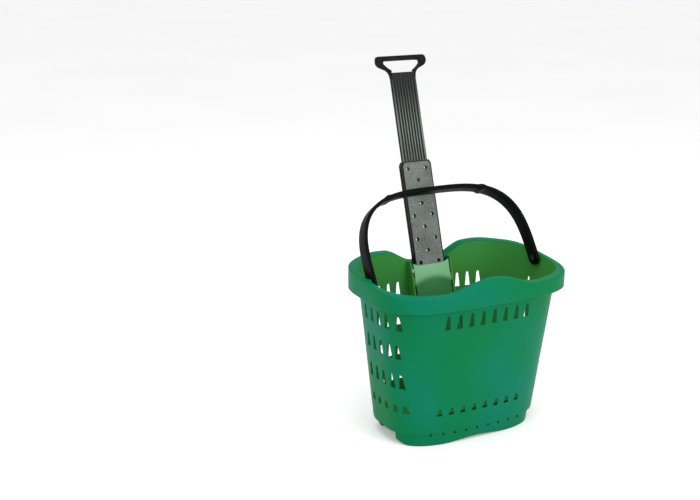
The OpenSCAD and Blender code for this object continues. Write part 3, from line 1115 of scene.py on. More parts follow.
    def rim_outline(self, inset: float) -> list[Point2]:
        """The rim's outline, drawn smaller by the inset."""
        a, b = self.rim_length / 2 - inset, self.rim_depth / 2 - inset
        return [squared(a, b, self.rim_power, t) for t in self.rim_turns]

    def rim_rings(self) -> list[list[Point3]]:
        """The rim's section at each point of its outline.

        Returns:
            The sections in order.
        """
        flat = self.rim_outline(0.0)
        rings = []
        count = len(flat)
        for i, (x, y) in enumerate(flat):
            before, after = flat[i - 1], flat[(i + 1) % count]
            along = Vector((after[0] - before[0], after[1] - before[1])).normalized()
            normal = (along.y, -along.x)
            reach = self.ledge_reach(x, y, normal, self.rim_at(x, y), self.wall) + 0.12

            def spot(d: float, down: float, at: Point2 = (x, y), n: Point2 = normal) -> Point3:
                """A point set in from the outline and down from the wave."""
                px, py = at[0] - d * n[0], at[1] - d * n[1]
                return (px, py, self.rim_at(px, py if py * at[1] > 0 else 0.0) - down)

            r, w = self.rim_round, self.wall
            ring = [
                (*spot(1.2, 0)[:2], self.skirt_z),
                (*spot(0.2, 0)[:2], self.skirt_z + 1.0),
            ]
            for k in range(6):
                turn = math.radians(90 * k / 5)
                ring.append(spot(r - r * math.cos(turn), r - r * math.sin(turn)))
            ring.append(spot(reach * 0.5, 0.0))
            lip = self.lip_round
            for k in range(4):
                turn = math.radians(90 * k / 3)
                ring.append(spot(reach - lip + lip * math.sin(turn), lip - lip * math.cos(turn)))
            ring.append(spot(reach + 0.5, self.lip_h))
            ring.append(spot(reach - self.lip_t, self.lip_h))
            ring.append(spot(reach - self.lip_t, w))
            ring.append(spot(w + 1.5, w))
            ring.append(spot(w + 0.2, w + 1.5))
            ring.append((*spot(w, 0)[:2], self.skirt_z + 1.0))
            ring.append((*spot(w - 1.0, 0)[:2], self.skirt_z))
            rings.append(ring)
        return rings

    def stiffening_ribs(self) -> Shape:
        """The ribs between the skirt and the body.

        Returns:
            All the ribs as one shape.
        """
        half, foot = self.wall / 2, self.skirt_z - 11
        depth, length = self.rim_depth / 2 - self.rib_inset, self.rim_length / 2 - self.rib_inset
        ribs = [
            block((x - half, -depth, foot), (x + half, depth, foot + self.rib_h))
            for x in self.rib_xs
        ] + [
            block((-length, y - half, foot), (length, y + half, foot + self.rib_h))
            for y in self.rib_ys
        ]
        brace = ribs[0]
        for rib in ribs[1:]:
            brace = brace + rib
        for half_space in self.above_rim(self.rib_inset):
            brace = brace - half_space
        brace = brace & prism(self.rim_outline(self.rib_inset), self.skirt_z + 1.5, BEYOND + 100)
        return brace - self.body_loft(self.wall / 2)

    def bosses(self, body: Shape) -> Shape:
        """Adds the pivots' bosses and the posts for the forks' screws, with their holes.

        Args:
            body: The body they are added to, which is used up.

        Returns:
            The body with them.
        """
        for s in (-1, 1):
            boss = rod(self.boss_r, 0, 40, ROUND).turned(spin(QUARTER, "Y"))
            out = self.carry_half + self.carry_t / 2 + self.boss_gap
            boss.turned(shift(out, self.pivot_y, self.pivot_z))
            if s < 0:
                boss.turned(Matrix.Scale(-1, 4, (1, 0, 0)))
            body = body + (boss & self.body_loft(0.5))
        for x in (-self.wheel_x, self.wheel_x):
            for y in (-self.post_y, self.post_y):
                under = self.floor_top - self.wall
                post = rod(self.post_r, under + 0.05, self.floor_top + 7, 32)
                hole = rod(SCREW_HOLE_R, under - 1, self.floor_top + 5.5, 24)
                at = shift(x, self.wheel_y + y, 0)
                body = (body + post.turned(at)) - hole.turned(at)
        return body

    def slot_outline(self, w: float, top_w: float, h: float) -> list[Point2]:
        """A slot's outline, with a round top and eased lower corners.

        Args:
            w: The width.
            top_w: The top's width.
            h: The height.

        Returns:
            The outline round the middle.
        """
        r, ease = top_w / 2, 1.4
        lean = (w / 2 - r) / (h - r)
        points = [(-w / 2 + ease, 0), (w / 2 - ease, 0), (w / 2 - ease * lean, ease)]
        for k in range(9):
            turn = math.pi * k / 8
            points.append((r * math.cos(turn), h - r + r * math.sin(turn)))
        points.append((-w / 2 + ease * lean, ease))
        return points

    def wall_slots(self) -> list[Shape]:
        """The cutters of all the slots, in groups that don't touch one another.

        Returns:
            The groups of cutters.
        """
        front, sides, back = [], [], []
        for i in range(self.front_slots):
            x = (i - (self.front_slots - 1) / 2) * self.front_pitch
            for z, h in ((self.top_row_z, self.slot_h), (self.front_low_row_z, self.short_slot_h)):
                cut = plate(self.slot_outline(self.slot_w, self.slot_top_w, h), -30, 30)
                front.append(cut.turned(shift(x, self.front_at(z), z)))
        for i in range(self.drains):
            x = (i - self.drains // 2) * self.front_pitch
            cut = plate(self.slot_outline(self.drain_h, self.drain_h / 2, self.drain_h), -30, 30)
            front.append(cut.turned(shift(x, self.front_at(self.drain_z), self.drain_z)))
        rows = (self.top_row_z, self.second_row_z, self.third_row_z, self.low_row_z)
        for z in rows:
            h = self.short_slot_h if z == self.low_row_z else self.slot_h
            outline = self.slot_outline(self.slot_w, self.slot_top_w, h)
            for i in range(self.side_slots):
                y = self.side_slot_mid_y + (i - self.side_slots // 2) * self.side_pitch
                if i == 0 and z != self.top_row_z:
                    y += self.corner_slot_shift
                for side in (-1, 1):
                    cut = plate(outline, -70, 70).turned(spin(QUARTER, "Z"))
                    sides.append(cut.turned(shift(side * self.body_half(z), y, z)))
            for side in (-1, 1):
                for i in range(self.back_slots):
                    x = side * (self.back_slot_x + i * self.back_pitch)
                    cut = plate(outline, -30, 30)
                    back.append(cut.turned(shift(x, self.back_at(z), z)))
        return [gather(front), gather(sides), gather(back)]

    def foot_edge(self, x: float) -> float:
        """The height of the foot's lower edge.

        Args:
            x: Across.

        Returns:
            The height in mm.
        """
        half = self.body_a - self.foot_inset
        over = abs(x) - half + self.foot_corner
        if over > 0:
            over = min(over, self.foot_corner)
            return self.foot_corner - math.sqrt(max(0.0, self.foot_corner**2 - over**2))
        return self.foot_arch * blend(abs(x) / self.arch_half)

    def foot_prism(self, lift: float, back: float) -> Shape:
        """The foot's lower profile, drawn out from front to back.

        Args:
            lift: How far it is raised.
            back: Where it ends at the back.

        Returns:
            The solid.
        """
        far = int(self.body_a - self.foot_inset + 10)
        points = [(float(x), self.foot_edge(x) + lift) for x in range(-far, far + 1, 2)]
        top = self.floor_top + 5
        return plate(points + [(far + 0.1, top), (-far - 0.1, top)], back - 300, back)

    def shell(self) -> Shape:
        """The body's shell with its floor and its foot.

        Returns:
            The shell.
        """
        foot_back = -(self.body_front - self.foot_depth)
        outer = self.body_loft(0) & self.slab(self.hem_z, self.loft_top)
        foot = self.body_loft(self.foot_step, self.foot_inset) & self.foot_prism(0, foot_back)
        outer = outer + foot
        room = self.body_loft(self.wall) & self.slab(self.floor_top, self.loft_top + 5)
        under = self.body_loft(self.wall) & block(
            (-300, foot_back, -2), (300, foot_back + 400, self.floor_top - self.wall)
        )
        well = self.body_loft(self.wall + self.foot_step, self.foot_inset)
        well = well & self.foot_prism(self.wall, foot_back - self.wall)
        return ((outer - room) - under) - well

    def channel_box(
        self, half: float, front: float, back: float, foot: float, top: float
    ) -> Shape:
        """A block in the leaning frame."""
        return block((-half, front, foot), (half, back, top)).turned(self.leaning())

    def panel(self) -> Shape:
        """The crowned panel in front of the pull handle, with a sagging top edge.

        Returns:
            The panel.
        """
        radius = (self.panel_half**2 + self.panel_sag**2) / (2 * self.panel_sag)
        steps = 40
        rings = []
        for i in range(steps + 1):
            x = -self.panel_half + 2 * self.panel_half * i / steps
            crown = self.panel_crown * (1 - (x / self.panel_half) ** 2)
            top = self.panel_top - self.panel_sag + radius - math.sqrt(radius**2 - x**2)
            y0, y1 = -self.slide_fit - self.wall - crown, -self.slide_fit - crown
            edge = [(x, y1, top - 0.8), (x, (y0 + y1) / 2, top), (x, y0, top - 0.8)]
            rings.append([(x, y0, 0), (x, y1, 0), *edge])
        return skin(rings).turned(self.leaning())

    def panel_root(self) -> Shape:
        """The flat parts of the panel: below its slits, and a strip beside each of them.

        Returns:
            The flat parts as one shape.
        """
        y0, y1 = -self.slide_fit - self.wall, -self.slide_fit
        side = self.channel_half + self.wall
        strip = self.panel_half + self.slit_w
        parts = block((-side, y0, 0), (side, y1, self.low_lug - 30))
        for s in (-1, 1):
            xs = sorted((s * strip, s * side))
            parts = parts + block((xs[0], y0, 0), (xs[1], y1, self.panel_top))
        return parts.turned(self.leaning())

    def lugs(self) -> Shape:
        """The lugs that carry the cover's screws, with their holes.

        Returns:
            The lugs as one shape.
        """
        cover_y = self.sleeve_t + self.slide_fit
        shoe_half = self.sleeve_w / 2 + 3.4
        parts = []
        for foot, inner in (
            (self.low_lug, shoe_half), (self.stop_lug, self.sleeve_w / 2),
            (self.top_lug, self.sleeve_w / 2),
        ):
            for s in (-1, 1):
                outer = self.channel_half + self.wall - 0.5
                xs = sorted((s * (inner + self.slide_fit), s * outer))
                lug = block(
                    (xs[0], -self.slide_fit - self.wall + 0.2, foot),
                    (xs[1], cover_y - 0.3, foot + self.lug_h),
                )
                hole = rod(SCREW_HOLE_R, cover_y - 12, cover_y + 1, 24)
                hole.turned(spin(-QUARTER, "X"))
                hole.turned(shift(s * self.screw_x, 0, foot + self.lug_h / 2))
                parts.append((lug - hole).turned(self.leaning()))
        return gather(parts)

    def channel_walls(self) -> Shape:
        """The recess in the back wall that the pull handle runs in.

        Returns:
            The walls.
        """
        front, side = -self.slide_fit - self.wall, self.channel_half + self.wall
        walls = self.channel_box(side, front, 200, -60, 440)
        walls = walls - self.channel_box(self.channel_half, front - EPS, 201, -61, 441)
        walls = walls + self.panel_root()
        walls = walls + self.panel()
        walls = walls + self.lugs()
        return (walls & self.body_loft(0.02)) & self.slab(self.hem_z + 0.02, self.loft_top)

    def pivot_holes(self) -> Shape:
        """The bore for the carry handle's pins.

        Returns:
            The cutter.
        """
        reach = self.rim_length / 2 - self.wall - 2
        bore = rod(self.pivot_d / 2 + 0.05, -reach, reach, ROUND)
        return bore.turned(shift(0, self.pivot_y, self.pivot_z) @ spin(QUARTER, "Y"))

    def build(self, bench: Bench) -> None:
        """Builds the basket and hands it over.

        Args:
            bench: Where it goes.
        """
        side, front = self.channel_half + self.wall, -self.slide_fit - self.wall
        body = self.shell()
        cut = self.channel_box(side - 0.02, front + 0.02, 300, -80, 470) & self.body_loft(-0.5)
        body = (body - cut) + self.channel_walls()
        for half in self.above_rim(1.4):
            body = body - half
        rim = skin(self.rim_rings(), closed=True)
        body = self.bosses((body + rim) + self.stiffening_ribs())
        for slots in self.wall_slots():
            body = body - slots
        fit = self.slide_fit
        passage = self.channel_box(self.sleeve_w / 2 + fit, -fit, self.sleeve_t + fit, 380, 480)
        body = ((body - passage) - self.pivot_holes()).without_crumbs()
        bench.hand_over(
            body, "basket_moulding", "root",
            [Finish.GREEN_OUTSIDE, Finish.GREEN_INSIDE_PAINTED_LIGHT, Finish.GREEN_PANEL_PAINTED_LIGHT], ["basket"], self.pick,
        )

    def pick(self, middle: Vector, normal: Vector) -> int:
        """The finish of a face: 0 outside, 1 inside, with its painted light, and 2 on the panel,
        with its painted shadow and lit top.

        Args:
            middle: The face's middle.
            normal: The face's outward direction.

        Returns:
            The finish's number.
        """
        flat = self.leaning().inverted() @ middle
        # The panel's front takes the green copy with the painted shadow and lit top.
        if abs(flat.x) < self.panel_half + 0.4 and -8 < flat.y < -1.5 and flat.z > 60:
            facing = self.leaning().to_3x3().inverted() @ normal
            if facing.y < 0.3:
                return 2
        in_channel = abs(flat.x) < self.channel_half + self.wall - 0.2 and flat.y > -0.8
        if middle.z > self.rim_at(middle.x, middle.y) - 1.5:
            return 0
        low = middle.z < self.floor_top - 1
        step, aside = (self.foot_step, self.foot_inset) if low else (0.0, 0.0)
        # Inside faces take the green copy with the painted light.
        if not in_channel and self.inside(*middle, self.wall + step - 0.3, aside):
            return int(middle.z > self.wall - 1)
        return 0


# ---- Channel cover ----


@dataclass
class ChannelCover:
    """The black plate that closes the pull handle's channel at the back."""

    half: float = 56.6
    front: float = 18.6
    back: float = 21.6
    foot: float = 59.0
    top: float = 388.0
    field_half: float = 44.0
    field_depth: float = 0.9
    bead_x: float = 30.0
    bead_half: float = 1.6
    screw_x: float = Basket.screw_x
    screw_z: tuple[float, ...] = tuple(
        lug + Basket.lug_h / 2 for lug in (Basket.low_lug, Basket.stop_lug, Basket.top_lug)
    )

    def build(self, bench: Bench, leaning: Matrix) -> None:
        """Builds the cover and hands it over.

        Args:
            bench: Where it goes.
            leaning: From the leaning frame to the basket's.
        """
        cover = block((-self.half, self.front, self.foot), (self.half, self.back, self.top))
        cover.bevel(0.9, 3)
        field_cut = block(
            (-self.field_half, self.back - self.field_depth, self.foot + 14),
            (self.field_half, self.back + EPS, self.top - 14),
        )
        cover = cover - field_cut
        half, low, high = self.bead_half, self.foot + 20, self.top - 20
        for x in (-self.bead_x, 0.0, self.bead_x):
            outline = [(x - half, low), (x + half, low), (x + half, high), (x - half, high)]
            cover = cover + plate(outline, self.back - 2.0, self.back - 0.1)
        for z in self.screw_z:
            for x in (-self.screw_x, self.screw_x):
                hole = rod(1.7, self.front - 1, self.back + 1, 24)
                hole.turned(spin(-QUARTER, "X"))
                cover = cover - hole.turned(shift(x, 0, z))
        bench.hand_over(
            cover.turned(leaning), "channel_back_cover", "root",
            [Finish.COVER_BLACK], ["channel_cover"],
        )


# ---- Carry handle ----


@dataclass
class CarryHandle:
    """The bail: one strap from ear to ear, with a slimmer grip between two swellings."""

    half: float = 234.0
    rise: float = 211.0
    power: float = 3.3
    width: float = 38.0
    thickness: float = 9.0
    grip_width: float = 31.0
    grip_fill: float = 1.2
    swell: float = 2.4
    swell_x: float = 136.0
    swell_reach: float = 13.0
    grip_half: float = 128.0
    grip_fade: float = 9.0
    pivot_y: float = Basket.pivot_y
    pivot_z: float = Basket.pivot_z
    pivot_d: float = Basket.pivot_d
    head_d: float = 14.0
    head_x: float = 231.55
    lean: float = 34.0
    points: int = 480

    def path(self) -> list[Point2]:
        """The strap's middle line, from below the right pivot over to the left one.

        Returns:
            The points in order.
        """
        turns = even_turns(self.half, self.rise, self.power, self.points)[: self.points // 2 + 1]
        arch = [squared(self.half, self.rise, self.power, t) for t in turns]
        arch = [(x, abs(z)) for x, z in arch]
        ear = self.width / 2
        steps = [ear * math.cos(math.radians(5 + 85 * k / 14)) for k in range(14)]
        right = [(self.half, -z) for z in steps]
        left = [(-self.half, -z) for z in reversed(steps)]
        return right + arch[1:-1] + left

    def half_width(self, x: float, z: float) -> float:
        """Half of the strap's width at a point of its path.

        Args:
            x: Across.
            z: The height.

        Returns:
            Half of the width in mm.
        """
        ear = self.width / 2
        if z < 0:
            return math.sqrt(max(ear**2 - z**2, 0.4))
        slim = blend((abs(x) - self.grip_half) / self.grip_fade)
        return ear - (self.width - self.grip_width) / 2 * slim

    def strap(self) -> Shape:
        """The strap, in the bail's own plane.

        Returns:
            The strap.
        """
        path = self.path()
        rings = []
        for i, (x, z) in enumerate(path):
            x0, z0 = path[max(i - 1, 0)]
            x1, z1 = path[min(i + 1, len(path) - 1)]
            along = Vector((x1 - x0, z1 - z0)).normalized()
            out = (along.y, -along.x)
            half_w = self.half_width(x, z)
            half_t = self.thickness / 2
            half_t += self.swell * blend(abs(abs(x) - self.swell_x) / self.swell_reach)
            grip = blend((abs(x) - self.grip_half) / self.grip_fade)
            half_t += self.grip_fill * grip
            radius = min(2.4 + 0.9 * grip, half_w * 0.9, half_t * 0.94)
            rings.append(
                [
                    (x + v * out[0], u, z + v * out[1])
                    for u, v in rounded_box(half_w, half_t, radius)
                ]
            )
        return skin(rings)

    def build(self, bench: Bench) -> None:
        """Builds the bail, hands it over and dresses its pins.

        Args:
            bench: Where it goes.
        """
        bore = rod(self.pivot_d / 2 + 0.05, -300, 300, ROUND)
        across = spin(QUARTER, "Y")
        bail = self.strap() - bore.turned(across)
        for side in (-1, 1):
            ends = sorted((side * self.head_x, side * (self.half - 20)))
            bail = bail - rod(self.head_d / 2 + 0.2, *ends, ROUND).turned(across)
        back = spin(-math.radians(self.lean), "X")
        bail.turned(shift(0, self.pivot_y, self.pivot_z) @ back)
        bench.hand_over(
            bail, "carry_bail", "carry", [Finish.CARRY_BLACK], ["carry_handle"],
            smooth=40,
        )
        for side in ("left", "right"):
            bench.dress(f"carry_pivot_{side}", Finish.PIVOT_GREY)


# ---- Pull handle ----


@dataclass
class PullHandle:
    """The two-stage pull handle: sleeve, ribbed bar and grip, in the leaning frame."""

    sleeve_w: float = Basket.sleeve_w
    sleeve_t: float = Basket.sleeve_t
    sleeve_foot: float = 265.0
    sleeve_top: float = 670.0
    corner: float = 9.0
    border: float = 3.2
    sunk: float = 0.8
    back_flare: float = 1.7
    bore_w: float = 78.0
    bore_t: float = 12.0
    mouth_w: float = 73.8
    mouth_t: float = 9.0
    mouth_len: float = 12.0
    hole_d: float = 9.0
    hole_pitch: float = 30.0
    hole_x: float = 26.4
    hole_rows: int = 12
    sleeve_pin_r: float = 2.05
    sleeve_pin_x: float = 28.0
    sleeve_pin_z: float = 10.0
    bar_w: float = 73.0
    bar_t: float = 8.0
    bar_foot: float = 608.0
    bar_top: float = 882.0
    groove_pitch: float = 8.0
    groove_half: float = 2.0
    groove_flat: float = 1.2
    groove_pairs: int = 4
    foot_pin_x: float = 18.0
    foot_pin_z: float = 12.0
    seen_hole: float = 1.2
    groove_depth: float = 1.0
    web_top: float = 898.0
    grip_z: float = 932.0
    grip_w: float = 147.0
    grip_d: float = 20.0
    bar_round: float = 13.5
    plate_t: float = 14.0
    plate_round: float = 3.4
    bar_lift: float = 3.0
    voxel: float = 1.0

    @property
    def mid(self) -> float:
        """The middle of the sleeve's thickness."""
        return self.sleeve_t / 2

    def centred(self, w: float, t: float, low: float, high: float) -> Shape:
        """A block round the handle's middle plane."""
        return block((-w / 2, self.mid - t / 2, low), (w / 2, self.mid + t / 2, high))

    def cross_pin(self, radius: float, x: float, z: float, flare: float = 0.0) -> Shape:
        """A cutter from front to back, wider at the sleeve's faces by the flare.

        Args:
            radius: The radius.
            x: Across.
            z: The height.
            flare: How much wider it is at the faces.

        Returns:
            The cutter.
        """
        faces = (-EPS, self.sunk, self.sunk + flare, 13.0, 14.0, self.sleeve_t + EPS)
        behind = radius + self.back_flare
        widths = (radius + flare, radius + flare, radius, radius, behind, behind)
        if not flare:
            faces, widths = (-EPS - 3, self.sleeve_t + EPS + 3), (radius, radius)
        rings = [[(x + a, y, z + b) for a, b in circle(r)] for y, r in zip(faces, widths)]
        return skin(rings)

    def sleeve(self) -> Shape:
        """The outer sleeve.

        Returns:
            The sleeve.
        """
        half, ease = self.sleeve_w / 2, self.corner * 0.6
        outline = [
            (-half, self.sleeve_foot), (half, self.sleeve_foot),
            (half, self.sleeve_top - self.corner), (half - ease, self.sleeve_top),
            (-half + ease, self.sleeve_top), (-half, self.sleeve_top - self.corner),
        ]
        body = plate(outline, 0, self.sleeve_t).bevel(1.3, 3, 20)
        low, top = self.sleeve_foot - EPS, self.sleeve_top
        body = body - self.centred(self.bore_w, self.bore_t, low, top - self.mouth_len)
        body = body - self.centred(self.mouth_w, self.mouth_t, self.sleeve_foot, top + EPS)
        side, top = half - self.border, top - self.border
        for y0, y1 in ((-EPS, self.sunk), (self.sleeve_t - self.sunk, self.sleeve_t + EPS)):
            body = body - plate(
                [(-side, low), (side, low), (side, top - self.corner + 1), (side - ease, top),
                 (-side + ease, top), (-side, top - self.corner + 1)],
                y0, y1,
            )
        for side in (-1, 1):
            xs = sorted((side * (half - 1.1), side * (half + EPS)))
            body = body - block((xs[0], 6.2, low), (xs[1], 11.8, self.sleeve_top - 16))
        holes = []
        for row in range(self.hole_rows):
            z = self.sleeve_top - 20 - row * self.hole_pitch
            for x in (-self.hole_x, self.hole_x) if row % 2 == 0 else (0.0,):
                holes.append(self.cross_pin(self.hole_d / 2, x, z, 0.9))
        foot = self.sleeve_foot + self.sleeve_pin_z
        holes += [self.cross_pin(self.sleeve_pin_r, s * self.sleeve_pin_x, foot) for s in (-1, 1)]
        return body - gather(holes)

    def bar_ring(self, z: float, deep: float) -> list[Point3]:
        """The bar's outline at a height.

        Args:
            z: The place along the lean.
            deep: The share of the grooves' depth.

        Returns:
            The outline's points.
        """
        half, t, ease = self.bar_w / 2, self.bar_t / 2, 1.0
        count = 2 * int(half / 0.5)
        xs = [-half + ease + (2 * half - 2 * ease) * i / count for i in range(count + 1)]

        def sunk(x: float) -> float:
            """The depth of the grooves at x.

            Args:
                x: Across.

            Returns:
                The depth in mm.
            """
            if abs(x) > self.groove_pairs * self.groove_pitch:
                return 0.0
            off = abs((x / self.groove_pitch) % 1 - 0.5) * self.groove_pitch
            share = (off - self.groove_flat) / (self.groove_half - self.groove_flat / 2)
            return deep * self.groove_depth * blend(share)

        front = [(x, self.mid - t + sunk(x), z) for x in xs]
        back = [(x, self.mid + t - sunk(x), z) for x in reversed(xs)]
        right = [(half, self.mid - t + ease, z), (half, self.mid + t - ease, z)]
        left = [(-half, self.mid + t - ease, z), (-half, self.mid - t + ease, z)]
        return front + right + back + left

    def bar(self) -> Shape:
        """The ribbed inner bar with its tang and its foot.

        Returns:
            The bar.
        """
        low, high = self.bar_foot + 32, self.web_top - 3
        body = skin(
            [
                self.bar_ring(self.bar_foot + 20, 0), self.bar_ring(low, 0),
                self.bar_ring(low + 1.5, 0.5), self.bar_ring(low + 3, 1),
                *[self.bar_ring(low + 3 + (high - low - 6) * k / 8, 1) for k in range(1, 8)],
                self.bar_ring(high - 3, 1), self.bar_ring(high - 1.5, 0.5),
                self.bar_ring(high, 0), self.bar_ring(self.web_top, 0),
            ]
        )
        body = body + self.centred(self.bore_w - 16, 5, self.bar_foot + 4, self.bar_foot + 21)
        top = self.sleeve_top - 20
        spots = ((-self.hole_x, top), (self.hole_x, top), (0.0, top - self.hole_pitch))
        holes = [self.cross_pin(self.hole_d / 2 + self.seen_hole, x, z) for x, z in spots]
        foot = self.bar_foot + self.foot_pin_z
        holes += [self.cross_pin(SCREW_HOLE_R, s * self.foot_pin_x, foot) for s in (-1, 1)]
        return body - gather(holes)

    def on_border(self, spot: Vector) -> int:
        """1 where a point lies on the sleeve's sides or its raised border, and 0 elsewhere."""
        aside = abs(spot.x) > self.sleeve_w / 2 - self.border
        return int(aside or abs(spot.y - self.mid) > self.mid - 0.4)

    def on_rib(self, spot: Vector) -> int:
        """1 where a point lies on the top of a rib, which takes the painted highlight, and 0
        elsewhere.

        Args:
            spot: The point.

        Returns:
            The finish's number.
        """
        off = abs((spot.x / self.groove_pitch) % 1 - 0.5) * self.groove_pitch
        edge = abs(spot.x) > self.groove_pairs * self.groove_pitch
        high = abs(spot.y - self.mid) > self.bar_t / 2 - 0.35
        return int(high and (edge or off > self.groove_half + 0.4))

    def grip(self) -> Shape:
        """The pull grip, with its arms melted into the cross bar.

        Returns:
            The grip.
        """
        arm_x = self.grip_w / 2 - self.grip_d / 2
        half, top = self.bar_w / 2, self.bar_top
        flank = [
            (half, top), (half + 0.5, top + 9), (half + 4, top + 17), (half + 10, top + 23),
            (half + 21, top + 28), (half + 29, top + 31.5), (half + 34.5, top + 37),
            (half + 36.8, top + 44), (half + 36, top + 51), (half + 32, top + 56.5),
            (half + 25, top + 59),
        ]
        outline = both_sides(flank)
        body = plate(outline, self.mid - self.plate_t / 2, self.mid + self.plate_t / 2)
        body.bevel(self.plate_round, 4, 30)
        under = self.grip_z + self.bar_lift - self.bar_round / 2 + 1
        hollow = [
            (22, self.web_top - 0.5), (32, self.web_top + 5), (45, self.web_top + 14),
            (54, self.web_top + 23), (53, under - 1.5), (42, under),
        ]
        window = plate(both_sides(hollow), -20, 40)
        body = body - window
        rings = []
        for k in range(-16, 17):
            radius = self.bar_round / 2
            x = math.copysign(arm_x * min(1.0, abs(k) / 12), k)
            if abs(k) > 12:
                turn = math.radians(88 * (abs(k) - 12) / 4)
                x = math.copysign(arm_x + self.grip_d / 2 * math.sin(turn), k)
                radius *= math.cos(turn)
            middle = self.grip_z + self.bar_lift
            rings.append([(x, self.mid + u, middle + v) for u, v in circle(radius, 40)])
        body = body + skin(rings)
        remesh = body.obj.modifiers.new("melt", "REMESH")
        remesh.mode = "VOXEL"
        remesh.voxel_size = self.voxel
        smooth = body.obj.modifiers.new("ease", "SMOOTH")
        smooth.factor = 0.5
        smooth.iterations = 7
        body.settle()
        pocket = self.centred(self.bar_w - 5, 40, self.bar_top - 5, self.web_top + 4)
        return (body - pocket) - self.centred(
            self.bar_w + 0.04, self.bar_t + 0.04, self.bar_top - 5, self.web_top + 0.02
        )

    def build(self, bench: Bench, leaning: Matrix) -> None:
        """Builds the three drawn pieces and dresses the small ones.

        Args:
            bench: Where they go.
            leaning: From the leaning frame to the basket's.
        """
        bench.hand_over(
            self.sleeve().turned(leaning), "outer_sleeve", "sleeve",
            [Finish.SLEEVE_GREY, Finish.SLEEVE_EDGE], ["pull_sleeve"],
            lambda middle, normal: self.on_border(leaning.inverted() @ middle),
        )
        bench.hand_over(
            self.bar().turned(leaning), "ribbed_bar", "bar",
            [Finish.BAR_DARK, Finish.BAR_RIB_HIGHLIGHT], ["pull_bar"],
            lambda middle, normal: self.on_rib(leaning.inverted() @ middle), smooth=50,
        )
        bench.hand_over(
            self.grip().turned(leaning), "pull_grip_loop", "bar",
            [Finish.GRIP_BLACK], ["pull_grip", "grip_pins"], smooth=60,
        )
        for node in ("sleeve_guide_shoe", "bar_guide_shoe"):
            bench.dress(node, Finish.SHOE_BLACK)
        for node in (
            "sleeve_shoe_pins", "sleeve_detent_spring", "bar_shoe_pins", "bar_detent_spring",
        ):
            bench.dress(node, Finish.STEEL)


# ---- Wheels ----


@dataclass
class Wheels:
    """The two rear wheels in their forks."""

    x: float = Basket.wheel_x
    y: float = Basket.wheel_y
    diameter: float = 42.0
    width: float = 16.0
    axle_d: float = 6.0

    def tyre(self) -> Shape:
        """The tyre, with a rounded tread and two fine grooves.

        Returns:
            The tyre.
        """
        r, w, bed = self.diameter / 2, self.width / 2, self.diameter / 2 - 5
        right = [
            (bed, w), (r - 2.2, w), (r - 0.9, w - 0.5), (r - 0.2, w - 1.5), (r, w - 2.8),
            (r, 3.6), (r - 0.5, 3.3), (r - 0.5, 2.7), (r, 2.4),
        ]
        return lathe(right + [(a, -b) for a, b in reversed(right)], 96)

    def hub(self) -> Shape:
        """The hub, with a recess and six ribs on each side.

        Returns:
            The hub.
        """
        bore, boss, rim, outer = self.axle_d / 2 + 0.05, self.axle_d / 2 + 3, 13.5, 16.0
        half = self.width / 2
        right = [
            (bore, half), (boss - 0.4, half), (boss, half - 0.4), (boss, 4.6), (rim, 4.6),
            (rim, 6.6), (rim + 0.4, 7), (outer, 7),
        ]
        hub = lathe(right + [(a, -b) for a, b in reversed(right)], 96)
        for k in range(3):
            rib = block((-6.2, -rim - 0.6, -0.8), (6.2, rim + 0.6, 0.8))
            rib = rib - rod(boss - 0.5, -20, 20).turned(spin(QUARTER, "Y"))
            hub = hub + rib.turned(spin(math.pi * k / 3, "X"))
        return hub

    def build(self, bench: Bench) -> None:
        """Builds tyres and hubs, and dresses forks, axles and screws.

        Args:
            bench: Where they go.
        """
        for side, sign in (("left", -1), ("right", 1)):
            place = shift(sign * self.x, self.y, self.diameter / 2)
            bench.hand_over(
                self.tyre().turned(place), f"tyre_ring_{side}", f"wheel_{side}",
                [Finish.TYRE_RUBBER], [f"tyre_{side}"],
            )
            bench.hand_over(
                self.hub().turned(place), f"hub_disc_{side}", f"wheel_{side}",
                [Finish.HUB_BLACK], [f"wheel_hub_{side}"],
            )
            bench.dress(f"wheel_fork_{side}", Finish.COVER_BLACK)
            bench.dress(f"axle_{side}", Finish.STEEL)
        for node in ("axle_clips", "fork_screws", "cover_screws"):
            bench.dress(node, Finish.STEEL)


# ---- Studio ----


@dataclass(frozen=True)
class SoftBox:
    """A square soft light."""

    name: str
    place: Point3
    aim: Point3
    size: float
    power: float
    tint: Rgb = (1.0, 1.0, 1.0)

    def hang(self) -> None:
        """Puts the light in the scene."""
        light = bpy.data.lights.new(self.name, "AREA")
        light.shape = "SQUARE"
        light.size, light.energy, light.color = self.size, self.power, self.tint
        obj = bpy.data.objects.new(self.name, light)
        bpy.context.scene.collection.objects.link(obj)
        look = Vector(self.aim) - Vector(self.place)
        turn = look.to_track_quat("-Z", "Y").to_matrix().to_4x4()
        obj.matrix_world = Matrix.Translation(self.place) @ turn


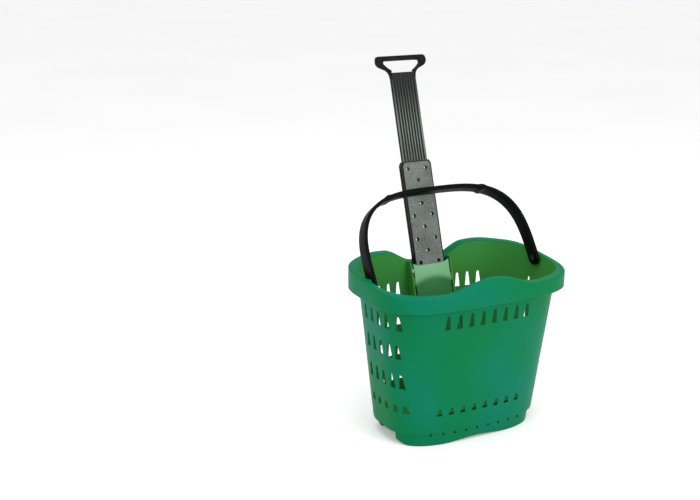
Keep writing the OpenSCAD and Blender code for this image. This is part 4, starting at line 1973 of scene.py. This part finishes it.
@dataclass
class Studio:
    """A pale floor, soft light from all round, and the camera."""

    camera_place: Point3 = (-1.48222, -2.34760, 1.24534)
    yaw: float = -27.49606
    pitch: float = 16.34898
    roll: float = 0.30218
    lens: float = 59.443
    ambient: float = 0.80
    boxes: tuple[SoftBox, ...] = (
        SoftBox("key_right", (1.15, -2.75, 1.30), (0.0, -0.05, 0.45), 1.5, 34.0),
        SoftBox("top", (-0.4, -0.6, 3.0), (0.0, 0.0, 0.4), 2.2, 40.0),
        SoftBox("cool_left", (-3.0, -0.2, 1.2), (0.0, 0.0, 0.3), 1.6, 14.0, (0.82, 0.95, 1.0)),
    )

    def floor(self, bench: Bench) -> None:
        """Lays the floor.

        Args:
            bench: The bench that makes its material.
        """
        book = bmesh.new()
        bmesh.ops.create_grid(book, x_segments=8, y_segments=8, size=45.0)
        mesh = bpy.data.meshes.new("studio_floor")
        book.to_mesh(mesh)
        book.free()
        mesh.materials.append(bench.material(Finish.FLOOR_PAPER))
        floor = bpy.data.objects.new("studio_floor", mesh)
        bpy.context.scene.collection.objects.link(floor)

    def camera(self) -> None:
        """Sets up the camera."""
        a, e, r = (math.radians(v) for v in (self.yaw, self.pitch, self.roll))
        back = Vector((math.sin(a) * math.cos(e), -math.cos(a) * math.cos(e), math.sin(e)))
        level = Vector((math.cos(a), math.sin(a), 0))
        rise = back.cross(level)
        right = math.cos(r) * level + math.sin(r) * rise
        up = -math.sin(r) * level + math.cos(r) * rise
        data = bpy.data.cameras.new("camera")
        data.lens, data.sensor_width, data.clip_end = self.lens, 36.0, 90.0
        obj = bpy.data.objects.new("camera", data)
        bpy.context.scene.collection.objects.link(obj)
        turn = Matrix((right, up, back)).transposed().to_4x4()
        obj.matrix_world = Matrix.Translation(self.camera_place) @ turn
        bpy.context.scene.camera = obj

    def build(self, bench: Bench) -> None:
        """Sets up floor, lights and camera.

        Args:
            bench: Where the floor's finish comes from.
        """
        self.floor(bench)
        self.camera()
        for box in self.boxes:
            box.hang()
        world = bpy.data.worlds.new("studio")
        world.use_nodes = True
        sky = world.node_tree.nodes["Background"]
        sky.inputs["Color"].default_value = (1.0, 1.0, 1.0, 1.0)
        sky.inputs["Strength"].default_value = self.ambient
        bpy.context.scene.world = world
        bpy.context.scene.view_settings.view_transform = "Standard"


def main() -> None:
    logging.basicConfig(level=logging.INFO, format="%(name)s: %(message)s")
    low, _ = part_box("basket")
    basket = Basket()
    bench = Bench(mid_y=-basket.rim_depth / 2 - low.y / MM)
    Studio().build(bench)
    basket.build(bench)
    ChannelCover().build(bench, basket.leaning())
    CarryHandle().build(bench)
    PullHandle().build(bench, basket.leaning())
    Wheels().build(bench)


if __name__ == "__main__":
    main()
